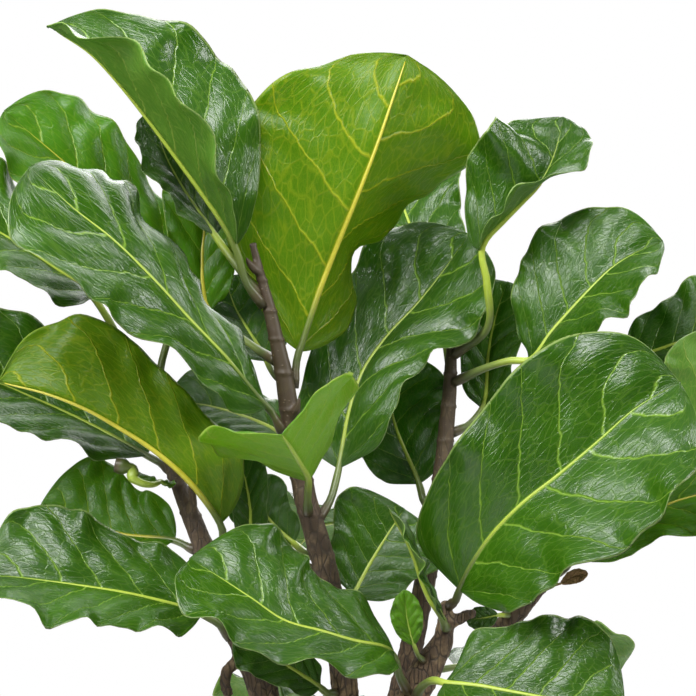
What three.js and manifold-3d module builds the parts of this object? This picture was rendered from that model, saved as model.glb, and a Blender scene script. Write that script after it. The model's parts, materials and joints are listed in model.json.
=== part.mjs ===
// Potted fiddle leaf fig: a clay pot on its saucer, potting soil, five woody stems and their leaves.
// Millimetres, +Z up. The origin is the centre of the saucer's flat underside, and the plant faces -Y.
import * as THREE from "three";
import { mergeVertices } from "three/addons/utils/BufferGeometryUtils.js";
import Module from "manifold-3d";

const wasm = await Module();
wasm.setup();

// ---- driving dimensions -------------------------------------------------------------------------
const GAP = 0.3; // clearance between touching pieces

const SAUCER_RADIUS = 132; // outer radius at the lip
const SAUCER_HEIGHT = 30;
const SAUCER_WALL = 6;
const SAUCER_FLARE = 14; // how much narrower the foot is than the lip

const POT_TOP_RADIUS = 146; // outer radius of the rim band
const POT_BASE_RADIUS = 100;
const POT_HEIGHT = 236;
const POT_WALL = 7;
const POT_FLOOR = 9;
const RIM_BAND_HEIGHT = 34;
const RIM_BAND_STEP = 6; // how far the rim band stands out from the body
const DRAIN_HOLE_RADIUS = 7;
const DRAIN_HOLE_COUNT = 5;
const DRAIN_HOLE_CIRCLE = 55; // radius of the circle of drain holes

const WATERING_SPACE = 26; // from the soil up to the pot's rim
const ROOT_DEPTH = 60; // how deep the stems stand in the soil

const CROWN_SCALE = 1; // scales the stems' routes and the leaves together
const STEM_THICKNESS = 1; // scales the stems' radii alone
const PETIOLE_RADIUS = 3.6;
const BLADE_THICKNESS = 1.4;
const MIDRIB_DEPTH = 3.2; // how far the midrib stands out under the blade at its base

const ROUND_SEGMENTS = 40; // sides of the pot, saucer and soil
const DRAIN_HOLE_SIDES = 10;
const STEM_SIDES = 10;
const TWIG_SIDES = 6;
const MERGE_DISTANCE = 1e-3; // corners nearer than this are one corner

// ---- colours and finishes -----------------------------------------------------------------------
const FINISHES = {
  clay: { color: 0xb5704a, roughness: 0.85, metalness: 0 },
  soil: { color: 0x3a2a1d, roughness: 1, metalness: 0 },
  bark: { color: 0x5d4a3b, roughness: 0.9, metalness: 0 },
  leaf: { color: 0x2f6a1f, roughness: 0.4, metalness: 0 },
  young: { color: 0x6da421, roughness: 0.4, metalness: 0 },
};

// ---- heights that follow from the dimensions ----------------------------------------------------
const POT_FOOT_Z = SAUCER_WALL + GAP;
const POT_RIM_Z = POT_FOOT_Z + POT_HEIGHT;
const SOIL_Z = POT_RIM_Z - WATERING_SPACE;

// ---- helpers ------------------------------------------------------------------------------------
const vector = (point) => new THREE.Vector3(...point);

/** A crown point: x and y from the pot's axis, z above the soil. */
const crownPoint = ([x, y, z]) =>
  new THREE.Vector3(x * CROWN_SCALE, y * CROWN_SCALE, SOIL_Z + z * CROWN_SCALE);

/** The value of a list of numbers at a fraction of its length. */
function along(list, fraction) {
  const place = Math.min(Math.max(fraction, 0), 1) * (list.length - 1);
  const low = Math.min(Math.floor(place), list.length - 2);
  return THREE.MathUtils.lerp(list[low], list[low + 1], place - low);
}

/**
 * A closed skin over rings of equal length, with a point at each end. Each four-sided patch is cut in two.
 * On a blade, whose slices have eight corners, the cuts above and below run the same way, from near the
 * midrib outwards, so that a thin twisted blade doesn't cross itself.
 */
function skin(rings, footPoint, tipPoint) {
  const sides = rings[0].length;
  const positions = [footPoint, ...rings.flat(), tipPoint].flatMap((p) => [p.x, p.y, p.z]);
  const tip = 1 + rings.length * sides;
  const at = (ring, side) => 1 + ring * sides + (side % sides);
  const index = [];
  for (let side = 0; side < sides; side += 1) {
    index.push(0, at(0, side + 1), at(0, side));
    const towardsMidrib = side % 4 >= 2;
    for (let ring = 0; ring < rings.length - 1; ring += 1) {
      const corners = [at(ring, side), at(ring, side + 1), at(ring + 1, side + 1), at(ring + 1, side)];
      const [a, b, c, d] = towardsMidrib ? [...corners.slice(1), corners[0]] : corners;
      index.push(a, b, c, a, c, d);
    }
    index.push(tip, at(rings.length - 1, side), at(rings.length - 1, side + 1));
  }
  const geometry = new THREE.BufferGeometry();
  geometry.setAttribute("position", new THREE.Float32BufferAttribute(positions, 3));
  geometry.setIndex(index);
  return geometry;
}

/** A round tube of changing radius along a curve, with flat ends. */
function taperedTube(points, radii, rings, sides) {
  const curve = new THREE.CatmullRomCurve3(points, false, "centripetal");
  const frames = curve.computeFrenetFrames(rings - 1, false);
  const loops = [];
  for (let ring = 0; ring < rings; ring += 1) {
    const fraction = ring / (rings - 1);
    const centre = curve.getPointAt(fraction);
    const radius = along(radii, fraction);
    const loop = [];
    for (let side = 0; side < sides; side += 1) {
      const angle = (side / sides) * 2 * Math.PI;
      loop.push(centre.clone()
        .addScaledVector(frames.normals[ring], radius * Math.cos(angle))
        .addScaledVector(frames.binormals[ring], radius * Math.sin(angle)));
    }
    loops.push(loop);
  }
  return skin(loops, curve.getPointAt(0), curve.getPointAt(1));
}

/** A solid turned from a closed profile of [radius, z] corners. */
function turned(profile) {
  const corners = profile.map(([radius, z]) => new THREE.Vector2(radius, z));
  const geometry = new THREE.LatheGeometry(corners, ROUND_SEGMENTS);
  return geometry.rotateX(Math.PI / 2);
}

/** The same geometry with only its positions, merged into shared vertices. */
function bare(geometry) {
  const copy = geometry.clone();
  copy.deleteAttribute("normal");
  copy.deleteAttribute("uv");
  return mergeVertices(copy, MERGE_DISTANCE);
}

function toSolid(geometry) {
  const merged = bare(geometry);
  return new wasm.Manifold(new wasm.Mesh({
    numProp: 3,
    vertProperties: Float32Array.from(merged.attributes.position.array),
    triVerts: Uint32Array.from(merged.index.array),
  }));
}

function fromSolid(solid) {
  const mesh = solid.getMesh();
  const geometry = new THREE.BufferGeometry();
  geometry.setAttribute("position", new THREE.BufferAttribute(mesh.vertProperties, 3));
  geometry.setIndex(new THREE.BufferAttribute(mesh.triVerts, 1));
  return geometry;
}

const model = new THREE.Group();

function addPiece(name, geometry, finish) {
  const material = new THREE.MeshStandardMaterial(FINISHES[finish]);
  const mesh = new THREE.Mesh(geometry, material);
  mesh.name = name;
  model.add(mesh);
}

// ---- saucer, pot and soil -----------------------------------------------------------------------
function saucer() {
  const foot = SAUCER_RADIUS - SAUCER_FLARE;
  return turned([
    [0, 0],
    [foot, 0],
    [SAUCER_RADIUS, SAUCER_HEIGHT],
    [SAUCER_RADIUS - SAUCER_WALL, SAUCER_HEIGHT],
    [foot - SAUCER_WALL, SAUCER_WALL],
    [0, SAUCER_WALL],
  ]);
}

/** The pot body's outer radius at a height above its foot, under the rim band's step. */
function potRadius(height) {
  const body = POT_TOP_RADIUS - RIM_BAND_STEP;
  return THREE.MathUtils.lerp(POT_BASE_RADIUS, body, height / POT_HEIGHT);
}

function pot() {
  const bandFoot = POT_HEIGHT - RIM_BAND_HEIGHT;
  const walls = turned([
    [0, 0],
    [POT_BASE_RADIUS, 0],
    [potRadius(bandFoot), bandFoot],
    [potRadius(bandFoot) + RIM_BAND_STEP, bandFoot],
    [POT_TOP_RADIUS, POT_HEIGHT],
    [potRadius(POT_HEIGHT) - POT_WALL, POT_HEIGHT],
    [potRadius(POT_FLOOR) - POT_WALL, POT_FLOOR],
    [0, POT_FLOOR],
  ]);
  let solid = toSolid(walls);
  for (let hole = 0; hole < DRAIN_HOLE_COUNT; hole += 1) {
    const angle = (hole / DRAIN_HOLE_COUNT) * 2 * Math.PI;
    const reach = 4 * POT_FLOOR; // long enough to pass through the floor
    const drill = new THREE.CylinderGeometry(DRAIN_HOLE_RADIUS, DRAIN_HOLE_RADIUS, reach, DRAIN_HOLE_SIDES);
    drill.rotateX(Math.PI / 2);
    drill.translate(DRAIN_HOLE_CIRCLE * Math.cos(angle), DRAIN_HOLE_CIRCLE * Math.sin(angle), 0);
    solid = solid.subtract(toSolid(drill));
  }
  return fromSolid(solid).translate(0, 0, POT_FOOT_Z);
}

function soil(stemSockets) {
  const inside = (height) => potRadius(height) - POT_WALL - GAP;
  const low = POT_FLOOR + GAP;
  const high = POT_HEIGHT - WATERING_SPACE;
  const fill = turned([[0, low], [inside(low), low], [inside(high), high], [0, high]]);
  let solid = toSolid(fill.translate(0, 0, POT_FOOT_Z));
  for (const socket of stemSockets) {
    solid = solid.subtract(toSolid(socket));
  }
  return fromSolid(solid);
}

// ---- stems --------------------------------------------------------------------------------------
// Each stem is a route of crown points from the soil up, with the radius at each point. A twig, stub or
// bud is a short route of its own that starts inside the stem.
const STEMS = {
  centre: {
    route: [[12, -5, 0], [14, -3, 140], [-2, 0, 289], [-15, 0, 384], [-36, 0, 456], [-50, 0, 528],
      [-55, 0, 568], [-66, 0, 610], [-73, 0, 650], [-78, 0, 672], [-86, 0, 696]],
    radii: [15, 14, 12.5, 11.5, 11, 10, 9, 7.5, 5.5, 4.5, 3.5],
    twigs: [
      { route: [[-78, -2, 668], [-86, -6, 674], [-92, -9, 684]], radii: [4, 5, 1.5] },
      { route: [[-50, -4, 536], [-46, -12, 546], [-43, -15, 558]], radii: [5, 4.5, 2] },
    ],
  },
  left: {
    route: [[-28, -14, 0], [-48, -12, 160], [-74, -8, 289], [-97, -5, 344], [-129, 0, 421],
      [-146, 4, 461], [-157, 14, 487], [-170, 34, 534], [-182, 52, 584]],
    radii: [15, 14, 13.5, 13, 10, 8.5, 7.5, 6, 4.5],
    twigs: [
      { route: [[-98, -10, 322], [-108, -14, 314], [-110, -15, 302], [-106, -15, 290]],
        radii: [6, 6, 5.5, 5] },
      { route: [[-140, -2, 454], [-139, -9, 466], [-142, -12, 484]], radii: [5, 4.5, 2.5] },
    ],
  },
  front_right: {
    route: [[50, -28, 0], [46, -22, 150], [55, -20, 289], [69, -20, 314], [80, -20, 332],
      [90, -21, 354], [87, -22, 376]],
    radii: [16, 15.5, 15, 14, 11, 8, 5.5],
    twigs: [
      { route: [[86, -21, 350], [97, -22, 360], [114, -24, 366]], radii: [6, 5.5, 4.5] },
    ],
  },
  right: {
    route: [[46, 24, 0], [60, 24, 180], [98, 20, 287], [140, 18, 344], [155, 18, 366], [178, 20, 390],
      [205, 25, 432], [226, 33, 484], [240, 38, 536]],
    radii: [12.5, 12, 11, 10, 9.5, 8.5, 7, 6, 4.5],
    twigs: [
      { route: [[150, 16, 360], [146, 8, 372], [145, 4, 384]], radii: [6, 5, 2] },
    ],
  },
  back: {
    route: [[-6, 40, 0], [20, 50, 170], [60, 66, 330], [84, 76, 460], [94, 80, 555], [97, 80, 614]],
    radii: [13, 12, 11, 9, 7.5, 5],
    twigs: [],
  },
};

const STEM_RINGS = 14;
const TWIG_RINGS = 4;

/** A stem's curve with its root added below the soil, and its radii. */
function stemLine({ route, radii }) {
  const points = route.map(crownPoint);
  const root = points[0].clone();
  root.z -= ROOT_DEPTH;
  const thick = [radii[0], ...radii].map((radius) => radius * STEM_THICKNESS);
  return { points: [root, ...points], radii: thick };
}

/** The stem's radii sampled evenly along its length, so that each one stays at its own route point. */
function evenRadii(points, radii) {
  const reach = [0];
  for (let i = 1; i < points.length; i += 1) {
    reach.push(reach[i - 1] + points[i].distanceTo(points[i - 1]));
  }
  const total = reach[reach.length - 1];
  const samples = [];
  for (let ring = 0; ring < STEM_RINGS; ring += 1) {
    const length = (ring / (STEM_RINGS - 1)) * total;
    const next = Math.max(1, reach.findIndex((value) => value >= length - 1e-6));
    const share = (length - reach[next - 1]) / (reach[next] - reach[next - 1]);
    samples.push(THREE.MathUtils.lerp(radii[next - 1], radii[next], share));
  }
  return samples;
}

function stem(spec) {
  const { points, radii } = stemLine(spec);
  let solid = toSolid(taperedTube(points, evenRadii(points, radii), STEM_RINGS, STEM_SIDES));
  for (const twig of spec.twigs) {
    const twigRadii = twig.radii.map((radius) => radius * STEM_THICKNESS);
    solid = solid.add(toSolid(taperedTube(twig.route.map(crownPoint), twigRadii, TWIG_RINGS, TWIG_SIDES)));
  }
  return fromSolid(solid);
}

/** The hole in the soil that a stem stands in: its root, larger all round by the gap. */
function socket(spec) {
  const { points, radii } = stemLine(spec);
  const wide = evenRadii(points, radii).map((radius) => radius / Math.cos(Math.PI / STEM_SIDES) + GAP);
  const deeper = points.map((point) => point.clone());
  deeper[0].z -= GAP;
  return taperedTube(deeper, wide, STEM_RINGS, STEM_SIDES);
}

/** The stem's centre and radius at a height above the soil. */
function stemAt(spec, height) {
  const { points, radii } = stemLine(spec);
  const z = SOIL_Z + height * CROWN_SCALE;
  const next = Math.max(1, points.findIndex((point) => point.z >= z));
  const share = (z - points[next - 1].z) / (points[next].z - points[next - 1].z);
  const curve = new THREE.CatmullRomCurve3(points, false, "centripetal");
  const centre = curve.getPoint((next - 1 + share) / (points.length - 1));
  return { centre, radius: THREE.MathUtils.lerp(radii[next - 1], radii[next], share) };
}

// ---- leaves -------------------------------------------------------------------------------------
// Half-widths from the blade's base to its tip, as shares of the widest, at even fractions of the
// stations below. The mature blade is fiddle shaped: lobed at its base, waisted, and broad near its tip.
const STATIONS = [0, 0.07, 0.19, 0.35, 0.52, 0.69, 0.83, 0.94, 0.995];
const OUTLINES = {
  fiddle: [0.12, 0.5, 0.68, 0.72, 0.86, 1, 0.96, 0.66, 0.14],
  broad: [0.18, 0.6, 0.74, 0.84, 0.96, 1, 0.88, 0.58, 0.12],
  oval: [0.1, 0.34, 0.66, 0.9, 1, 0.94, 0.72, 0.42, 0.08],
};
const PETIOLE_STATIONS = [0, 0.35, 0.75];
const COLLAR_REACH = 1.4; // how far a petiole runs straight out of its stem, in petiole radii
const COLLAR_RISE = 0.35; // how steeply it leaves the stem, as a share of its way to its next point
const SLICE_CORNERS = 8;
const LENGTH_STEPS = 300;
const GROOVE = 0.7; // the petiole's radius along its grooved top, as a share of its radius
const TIP_RIB_SHARE = 0.15; // the midrib's depth at the tip, as a share of its depth at the base

/** The blend of a list of equal arrays at a fraction of the list. */
function blendOf(list, fraction) {
  return list[0].map((_, axis) => along(list.map((entry) => entry[axis]), fraction));
}

/** Each list entry as pairs: one pair stands for the whole leaf. */
const asPairs = (value) => (Array.isArray(value[0]) ? value : [value, value]);

/** The eight corners of one slice across the blade, from the top of the midrib towards its right side. */
function bladeSlice({ centre, side, normal, halfWidths, folds, curls, thickness, ribDepth }) {
  const halves = [1, -1].map((sign, which) => {
    const bend = THREE.MathUtils.degToRad(folds[1 - which]);
    const turn = bend + THREE.MathUtils.degToRad(curls[1 - which]);
    const reach = halfWidths[1 - which] / 2;
    const sideways = side.clone().multiplyScalar(sign);
    const out = (angle) =>
      sideways.clone().multiplyScalar(Math.cos(angle)).addScaledVector(normal, Math.sin(angle));
    const middle = centre.clone().addScaledVector(out(bend), reach);
    const rim = middle.clone().addScaledVector(out(turn), reach);
    const up = out((bend + turn) / 2 + Math.PI / 2).multiplyScalar(thickness / 2);
    return { over: middle.clone().add(up), under: middle.clone().sub(up), rim };
  });
  const [right, left] = halves;
  return [
    centre.clone().addScaledVector(normal, thickness / 2),
    right.over,
    right.rim,
    right.under,
    centre.clone().addScaledVector(normal, -thickness / 2 - ribDepth),
    left.under,
    left.rim,
    left.over,
  ];
}

function petioleSlice(centre, side, normal, radius) {
  const loop = [];
  for (let corner = 0; corner < SLICE_CORNERS; corner += 1) {
    const angle = (corner / SLICE_CORNERS) * 2 * Math.PI;
    const reach = corner === 0 ? radius * GROOVE : radius;
    loop.push(centre.clone()
      .addScaledVector(normal, reach * Math.cos(angle))
      .addScaledVector(side, reach * Math.sin(angle)));
  }
  return loop;
}

/** One leaf: its petiole from the stem's skin, and its blade along the midrib. */
function leaf(spec) {
  const { centre: core, radius } = stemAt(STEMS[spec.stem], spec.height);
  const midrib = spec.midrib.map(crownPoint);
  const stalk = (spec.stalk ?? []).map(crownPoint);
  const first = stalk[0] ?? midrib[0];
  const outward = first.clone().sub(core);
  outward.z *= COLLAR_RISE;
  outward.normalize();
  const petioleRadius = PETIOLE_RADIUS * (spec.slim ?? 1);
  const foot = core.clone().addScaledVector(outward, radius + GAP + petioleRadius);
  const collar = foot.clone().addScaledVector(outward, petioleRadius * COLLAR_REACH);
  const points = [foot, collar, ...stalk, ...midrib];
  const curve = new THREE.CatmullRomCurve3(points, false, "centripetal");
  curve.arcLengthDivisions = LENGTH_STEPS;
  const lengths = curve.getLengths();
  const total = lengths[lengths.length - 1];
  const baseAt = lengths[Math.round((LENGTH_STEPS * (stalk.length + 2)) / (points.length - 1))] / total;
  const frame = (share, fraction) => {
    const tangent = curve.getTangentAt(share);
    const face = vector(blendOf(spec.face, fraction));
    const normal = face.addScaledVector(tangent, -face.dot(tangent)).normalize();
    return { centre: curve.getPointAt(share), normal, side: tangent.clone().cross(normal) };
  };
  const rings = PETIOLE_STATIONS.map((fraction) => {
    const { centre, normal, side } = frame(baseAt * fraction, 0);
    return petioleSlice(centre, side, normal, petioleRadius);
  });
  const folds = asPairs(spec.fold);
  const curls = asPairs(spec.curl ?? [0, 0]);
  const outlines = [spec.outline ?? "fiddle"].flat().map((name) => OUTLINES[name]);
  const [leftOutline, rightOutline] = [outlines[0], outlines[outlines.length - 1]];
  STATIONS.forEach((fraction, row) => {
    const half = (spec.width * CROWN_SCALE) / 2;
    const [left, right] = spec.sides ?? [1, 1];
    rings.push(bladeSlice({
      ...frame(baseAt + (1 - baseAt) * fraction, fraction),
      halfWidths: [half * left * leftOutline[row], half * right * rightOutline[row]],
      folds: blendOf(folds, fraction),
      curls: blendOf(curls, fraction),
      thickness: BLADE_THICKNESS,
      ribDepth: MIDRIB_DEPTH * THREE.MathUtils.lerp(1, TIP_RIB_SHARE, fraction) * (spec.slim ?? 1),
    }));
  });
  return skin(rings, foot, curve.getPointAt(1));
}

// Each leaf: the stem and the height where it grows, points along its stalk where it bends, the midrib
// from the blade's base to its tip, the blade's full width, the way its upper face looks from base to
// tip, and how far its left and right halves fold up from flat, in degrees.
const FRONT = [0, -1, 0];
const LEAVES = [
  // -- centre stem, from the top down
  { name: "centre_leaf_top_twisted", stem: "centre", height: 640, stalk: [[-94, -12, 668]],
    midrib: [[-102, -18, 696], [-152, -34, 770], [-192, -34, 822], [-228, -30, 862], [-268, -22, 888]],
    width: 184, face: [[0.75, -0.25, 0.6], [0.7, -0.1, 0.7], [0.5, -0.2, 0.8]],
    fold: [[26, 60], [30, 56], [26, 44], [4, 30]], curl: [8, 8], outline: "oval", sides: [0.9, 1.12] },
  { name: "centre_leaf_behind_twisted", stem: "centre", height: 650, stalk: [[-96, 2, 670], [-108, 8, 686]],
    midrib: [[-122, 22, 706], [-148, 44, 742], [-170, 54, 782], [-180, 54, 820]],
    width: 70, face: [[0.5, -0.7, 0.4], [0.5, -0.7, 0.4]], fold: [10, 10] },
  { name: "centre_leaf_tall_backlit", stem: "centre", height: 566, stalk: [[-48, 10, 585]],
    midrib: [[-43, 14, 602], [-25, 12, 656], [-2, 8, 714], [20, 8, 768], [38, 14, 820], [54, 26, 868]],
    width: 244, face: [[-0.1, 1, 0.1], [0, 1, 0.15]], fold: [[40, 10], [64, 6], [44, 4], [8, 4]],
    curl: [10, 4], outline: ["fiddle", "oval"], sides: [0.94, 1.04] },
  { name: "centre_leaf_left_glossy", stem: "centre", height: 526, stalk: [[-64, -10, 540]],
    midrib: [[-75, -16, 551], [-110, -40, 595], [-148, -62, 636], [-193, -80, 686], [-232, -90, 717],
      [-276, -90, 758]],
    width: 166, face: [[0.3, -0.7, 0.6], [0.36, -0.82, 0.44], [0.3, -0.85, 0.4]], fold: [15, -22],
    curl: [6, -10] },
  { name: "centre_leaf_left_pale", stem: "centre", height: 590, stalk: [[-100, 46, 614]],
    midrib: [[-128, 62, 636], [-134, 64, 662], [-134, 68, 700], [-128, 74, 745], [-122, 80, 785]],
    width: 88, face: [FRONT, FRONT], fold: [12, 12] },
  { name: "centre_leaf_young_front", stem: "centre", height: 455, stalk: [[-36, -30, 470]],
    midrib: [[-35, -44, 484], [-41, -84, 500], [-51, -124, 519], [-56, -154, 528]],
    width: 176, face: [[0.05, 0.36, 0.93], [0.05, 0.3, 0.95]], fold: [[58, 10], [50, 6]], curl: [6, 4],
    outline: "oval", young: true },
  { name: "centre_leaf_deep_right", stem: "centre", height: 446, stalk: [[-14, 26, 470]],
    midrib: [[-8, 40, 494], [6, 58, 560], [26, 76, 600], [56, 90, 632], [90, 98, 674], [114, 100, 708]],
    width: 150, face: [[-0.35, -0.85, 0.4], [-0.35, -0.85, 0.4]], fold: [10, 12] },
  { name: "centre_leaf_low_folded", stem: "centre", height: 374, stalk: [],
    midrib: [[4, 34, 376], [18, 48, 400], [36, 58, 429], [52, 66, 453]],
    width: 118, face: [[-0.1, -0.9, 0.3], [0.1, -0.9, 0.3]], fold: [20, 8] },
  { name: "centre_leaf_low_left_dark", stem: "centre", height: 412, stalk: [],
    midrib: [[-50, 32, 424], [-68, 38, 440], [-82, 44, 458], [-94, 50, 480]],
    width: 62, face: [[0.1, -0.9, 0.3], [0.1, -0.9, 0.3]], fold: [10, 10] },
  { name: "centre_leaf_low_left_green", stem: "centre", height: 400, stalk: [],
    midrib: [[-86, 12, 428], [-88, 14, 452], [-93, 18, 482], [-103, 24, 512]],
    width: 46, face: [FRONT, FRONT], fold: [14, 14] },
  { name: "centre_leaf_low_drooping", stem: "centre", height: 290, stalk: [],
    midrib: [[-26, -24, 300], [-46, -32, 314], [-72, -40, 332], [-98, -44, 352]],
    width: 60, face: [[0.2, -0.85, 0.5], [0.2, -0.85, 0.5]], fold: [8, 8] },
  { name: "centre_leaf_back_upper", stem: "centre", height: 574, stalk: [[-68, 26, 580]],
    midrib: [[-74, 42, 590], [-90, 70, 614], [-106, 92, 640], [-116, 104, 668]],
    width: 84, face: [[0.2, -0.9, 0.3], [0.2, -0.9, 0.3]], fold: [12, 12] },
  { name: "centre_leaf_back_level", stem: "centre", height: 506, stalk: [[-56, 24, 514]],
    midrib: [[-64, 36, 524], [-96, 62, 538], [-134, 84, 548], [-170, 96, 552]],
    width: 84, face: [[0.1, -0.75, 0.65], [0.1, -0.75, 0.65]], fold: [8, 8] },

  // -- left stem, from the top down
  { name: "left_leaf_top_pale", stem: "left", height: 552, stalk: [[-172, 84, 604]],
    midrib: [[-158, 86, 650], [-200, 82, 708], [-240, 78, 752], [-318, 66, 820]],
    width: 128, face: [[0.35, -0.75, 0.5], [0.35, -0.75, 0.5]], fold: [10, 12] },
  { name: "left_leaf_top_outer", stem: "left", height: 560, stalk: [[-208, 46, 606]],
    midrib: [[-234, 34, 650], [-264, 22, 672], [-316, 8, 706], [-400, -4, 752]],
    width: 146, face: [[0.3, -0.6, 0.7], [0.3, -0.7, 0.6]], fold: [10, 6] },
  { name: "left_leaf_broad_backlit", stem: "left", height: 418, stalk: [[-111, -26, 432]],
    midrib: [[-114, -36, 448], [-128, -52, 470], [-148, -60, 494], [-188, -62, 524], [-248, -60, 556],
      [-308, -50, 572]],
    width: 184, face: [[0.2, 0.97, 0.1], [0.2, 0.97, 0.1]], fold: [20, 76], curl: [6, 4],
    sides: [0.84, 0.8] },
  { name: "left_leaf_dark_outer", stem: "left", height: 492, stalk: [[-170, 34, 496]],
    midrib: [[-186, 44, 504], [-236, 60, 530], [-284, 66, 552], [-340, 64, 574], [-396, 58, 582]],
    width: 150, face: [[0.2, -0.85, 0.5], [0.2, -0.85, 0.5]], fold: [30, 4] },
  { name: "left_leaf_curled_bud", stem: "left", height: 480, stalk: [],
    midrib: [[-168, -18, 483], [-180, -24, 488], [-198, -30, 496]],
    width: 26, face: [[0.2, -0.8, 0.5], [0.2, -0.8, 0.5]], fold: [20, 20], outline: "oval", slim: 0.5,
    young: true },
  { name: "left_leaf_level_pale", stem: "left", height: 421, stalk: [[-146, 6, 423]],
    midrib: [[-158, 12, 428], [-204, 24, 432], [-242, 32, 444], [-280, 38, 460]],
    width: 122, face: [[0.12, -0.94, 0.32], [0.12, -0.94, 0.32]], fold: [40, 2] },
  { name: "left_leaf_low_dark", stem: "left", height: 345, stalk: [[-112, -21, 352]],
    midrib: [[-132, -30, 366], [-176, -42, 380], [-206, -48, 387], [-242, -54, 393], [-284, -58, 399],
      [-322, -56, 402]],
    width: 150, face: [[0.11, -0.82, 0.56], [0.11, -0.82, 0.56]], fold: [[29, 5], [29, 5], [50, 5]] },
  { name: "left_leaf_back_high", stem: "left", height: 528, stalk: [[-172, 86, 528]],
    midrib: [[-182, 108, 532], [-206, 158, 544], [-226, 212, 548], [-240, 262, 536]],
    width: 126, face: [[0.3, -0.2, 0.93], [0.3, -0.1, 0.95]], fold: [14, 14] },
  { name: "left_leaf_back_mid", stem: "left", height: 392, stalk: [[-116, 20, 390]],
    midrib: [[-128, 50, 386], [-160, 110, 380], [-190, 170, 366], [-206, 216, 346]],
    width: 128, face: [[0.3, -0.1, 0.95], [0.4, 0.3, 0.85]], fold: [12, 12] },
  { name: "left_leaf_low_back", stem: "left", height: 240, stalk: [[-90, 16, 236]],
    midrib: [[-116, 44, 234], [-180, 82, 238], [-244, 112, 226], [-290, 130, 196]],
    width: 136, face: [[0.1, -0.1, 1], [0.5, 0, 0.85]], fold: [12, 12] },
  { name: "left_leaf_low_front", stem: "left", height: 212, stalk: [[-86, -34, 210]],
    midrib: [[-110, -56, 212], [-166, -96, 222], [-222, -130, 214], [-262, -152, 190]],
    width: 134, face: [[0.1, 0.1, 1], [0.5, 0.2, 0.85]], fold: [12, 12] },

  // -- front right stem
  { name: "front_leaf_hero", stem: "front_right", height: 372, stalk: [],
    midrib: [[100, -46, 392], [116, -60, 424], [149, -82, 464], [182, -96, 492], [213, -103, 519],
      [248, -106, 550], [286, -102, 572]],
    width: 224, face: [[-0.23, -0.94, 0.25], [-0.23, -0.94, 0.25]], fold: [[4, 25], [10, 25]], curl: [6, 6],
    outline: "broad", sides: [0.84, 1] },
  { name: "front_leaf_centre_glossy", stem: "front_right", height: 296, stalk: [[44, -50, 318]],
    midrib: [[37, -66, 337], [9, -86, 346], [-16, -99, 355], [-53, -108, 366], [-80, -110, 384],
      [-113, -105, 405], [-137, -98, 419]],
    width: 150, face: [[0.28, -0.6, 0.75], [0.28, -0.6, 0.75]], fold: [12, 12] },
  { name: "front_leaf_corner_dark", stem: "front_right", height: 292, stalk: [[70, -72, 312]],
    midrib: [[86, -96, 312], [106, -108, 312], [142, -120, 307], [169, -126, 303], [192, -130, 300],
      [236, -132, 294]],
    width: 160, face: [[0, -0.75, 0.65], [0.1, -0.78, 0.62]], fold: [10, 10], outline: "broad" },
  { name: "front_leaf_edge_on", stem: "front_right", height: 352, stalk: [],
    midrib: [[84, -44, 362], [70, -46, 384], [55, -48, 424], [34, -50, 462]],
    width: 64, face: [[0.89, -0.1, 0.45], [0.9, -0.05, 0.42]], fold: [8, 8], outline: "oval" },
  { name: "front_leaf_small_pale", stem: "front_right", height: 322, stalk: [],
    midrib: [[58, -44, 340], [52, -48, 364], [50, -48, 388]],
    width: 30, face: [FRONT, FRONT], fold: [16, 16], outline: "oval", slim: 0.6, young: true },
  { name: "front_leaf_olive_strip", stem: "right", height: 360, stalk: [],
    midrib: [[134, -8, 362], [122, -10, 360], [106, -8, 358]],
    width: 22, face: [FRONT, FRONT], fold: [10, 10], outline: "oval", slim: 0.6 },
  { name: "front_leaf_low_centre", stem: "front_right", height: 170, stalk: [[34, -60, 172]],
    midrib: [[24, -84, 178], [0, -140, 190], [-24, -200, 184], [-40, -246, 158]],
    width: 136, face: [[-0.1, 0.1, 1], [-0.2, -0.4, 0.9]], fold: [12, 12] },
  { name: "front_leaf_low_right", stem: "front_right", height: 214, stalk: [[74, -46, 214]],
    midrib: [[98, -64, 216], [154, -98, 222], [214, -128, 212], [256, -148, 186]],
    width: 138, face: [[-0.1, 0, 1], [-0.5, -0.3, 0.85]], fold: [12, 12] },

  // -- right stem
  { name: "right_leaf_ribbed_back", stem: "right", height: 470, stalk: [],
    midrib: [[254, 14, 474], [288, -4, 496], [310, -14, 530], [330, -20, 580], [336, -16, 620]],
    width: 100, face: [[-0.2, 0.9, 0.3], [-0.2, 0.9, 0.3]], fold: [12, 12] },
  { name: "right_leaf_bright", stem: "right", height: 398, stalk: [],
    midrib: [[206, -6, 418], [240, -16, 440], [282, -24, 461], [318, -27, 472], [384, -24, 480]],
    width: 84, face: [[0, -0.9, 0.42], [0, -0.9, 0.42]], fold: [12, 12] },
  { name: "right_leaf_outer_top", stem: "right", height: 530, stalk: [[252, 42, 566]],
    midrib: [[262, 44, 590], [280, 44, 598], [316, 42, 611], [364, 34, 630]],
    width: 112, face: [[-0.4, -0.8, 0.45], [-0.4, -0.8, 0.45]], fold: [12, 12] },
  { name: "right_leaf_dried", stem: "right", height: 386, stalk: [],
    midrib: [[192, 2, 390], [204, 4, 396], [216, 6, 398]],
    width: 14, face: [FRONT, FRONT], fold: [20, 20], outline: "oval", slim: 0.35 },
  { name: "right_leaf_back_high", stem: "right", height: 505, stalk: [[230, 60, 514]],
    midrib: [[234, 84, 520], [242, 140, 530], [252, 200, 526], [256, 252, 502]],
    width: 124, face: [[-0.3, -0.1, 0.95], [-0.2, 0.2, 0.95]], fold: [14, 14] },
  { name: "right_leaf_low_outer", stem: "right", height: 208, stalk: [[96, 36, 206]],
    midrib: [[124, 46, 209], [190, 60, 222], [252, 70, 214], [300, 76, 184]],
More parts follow.
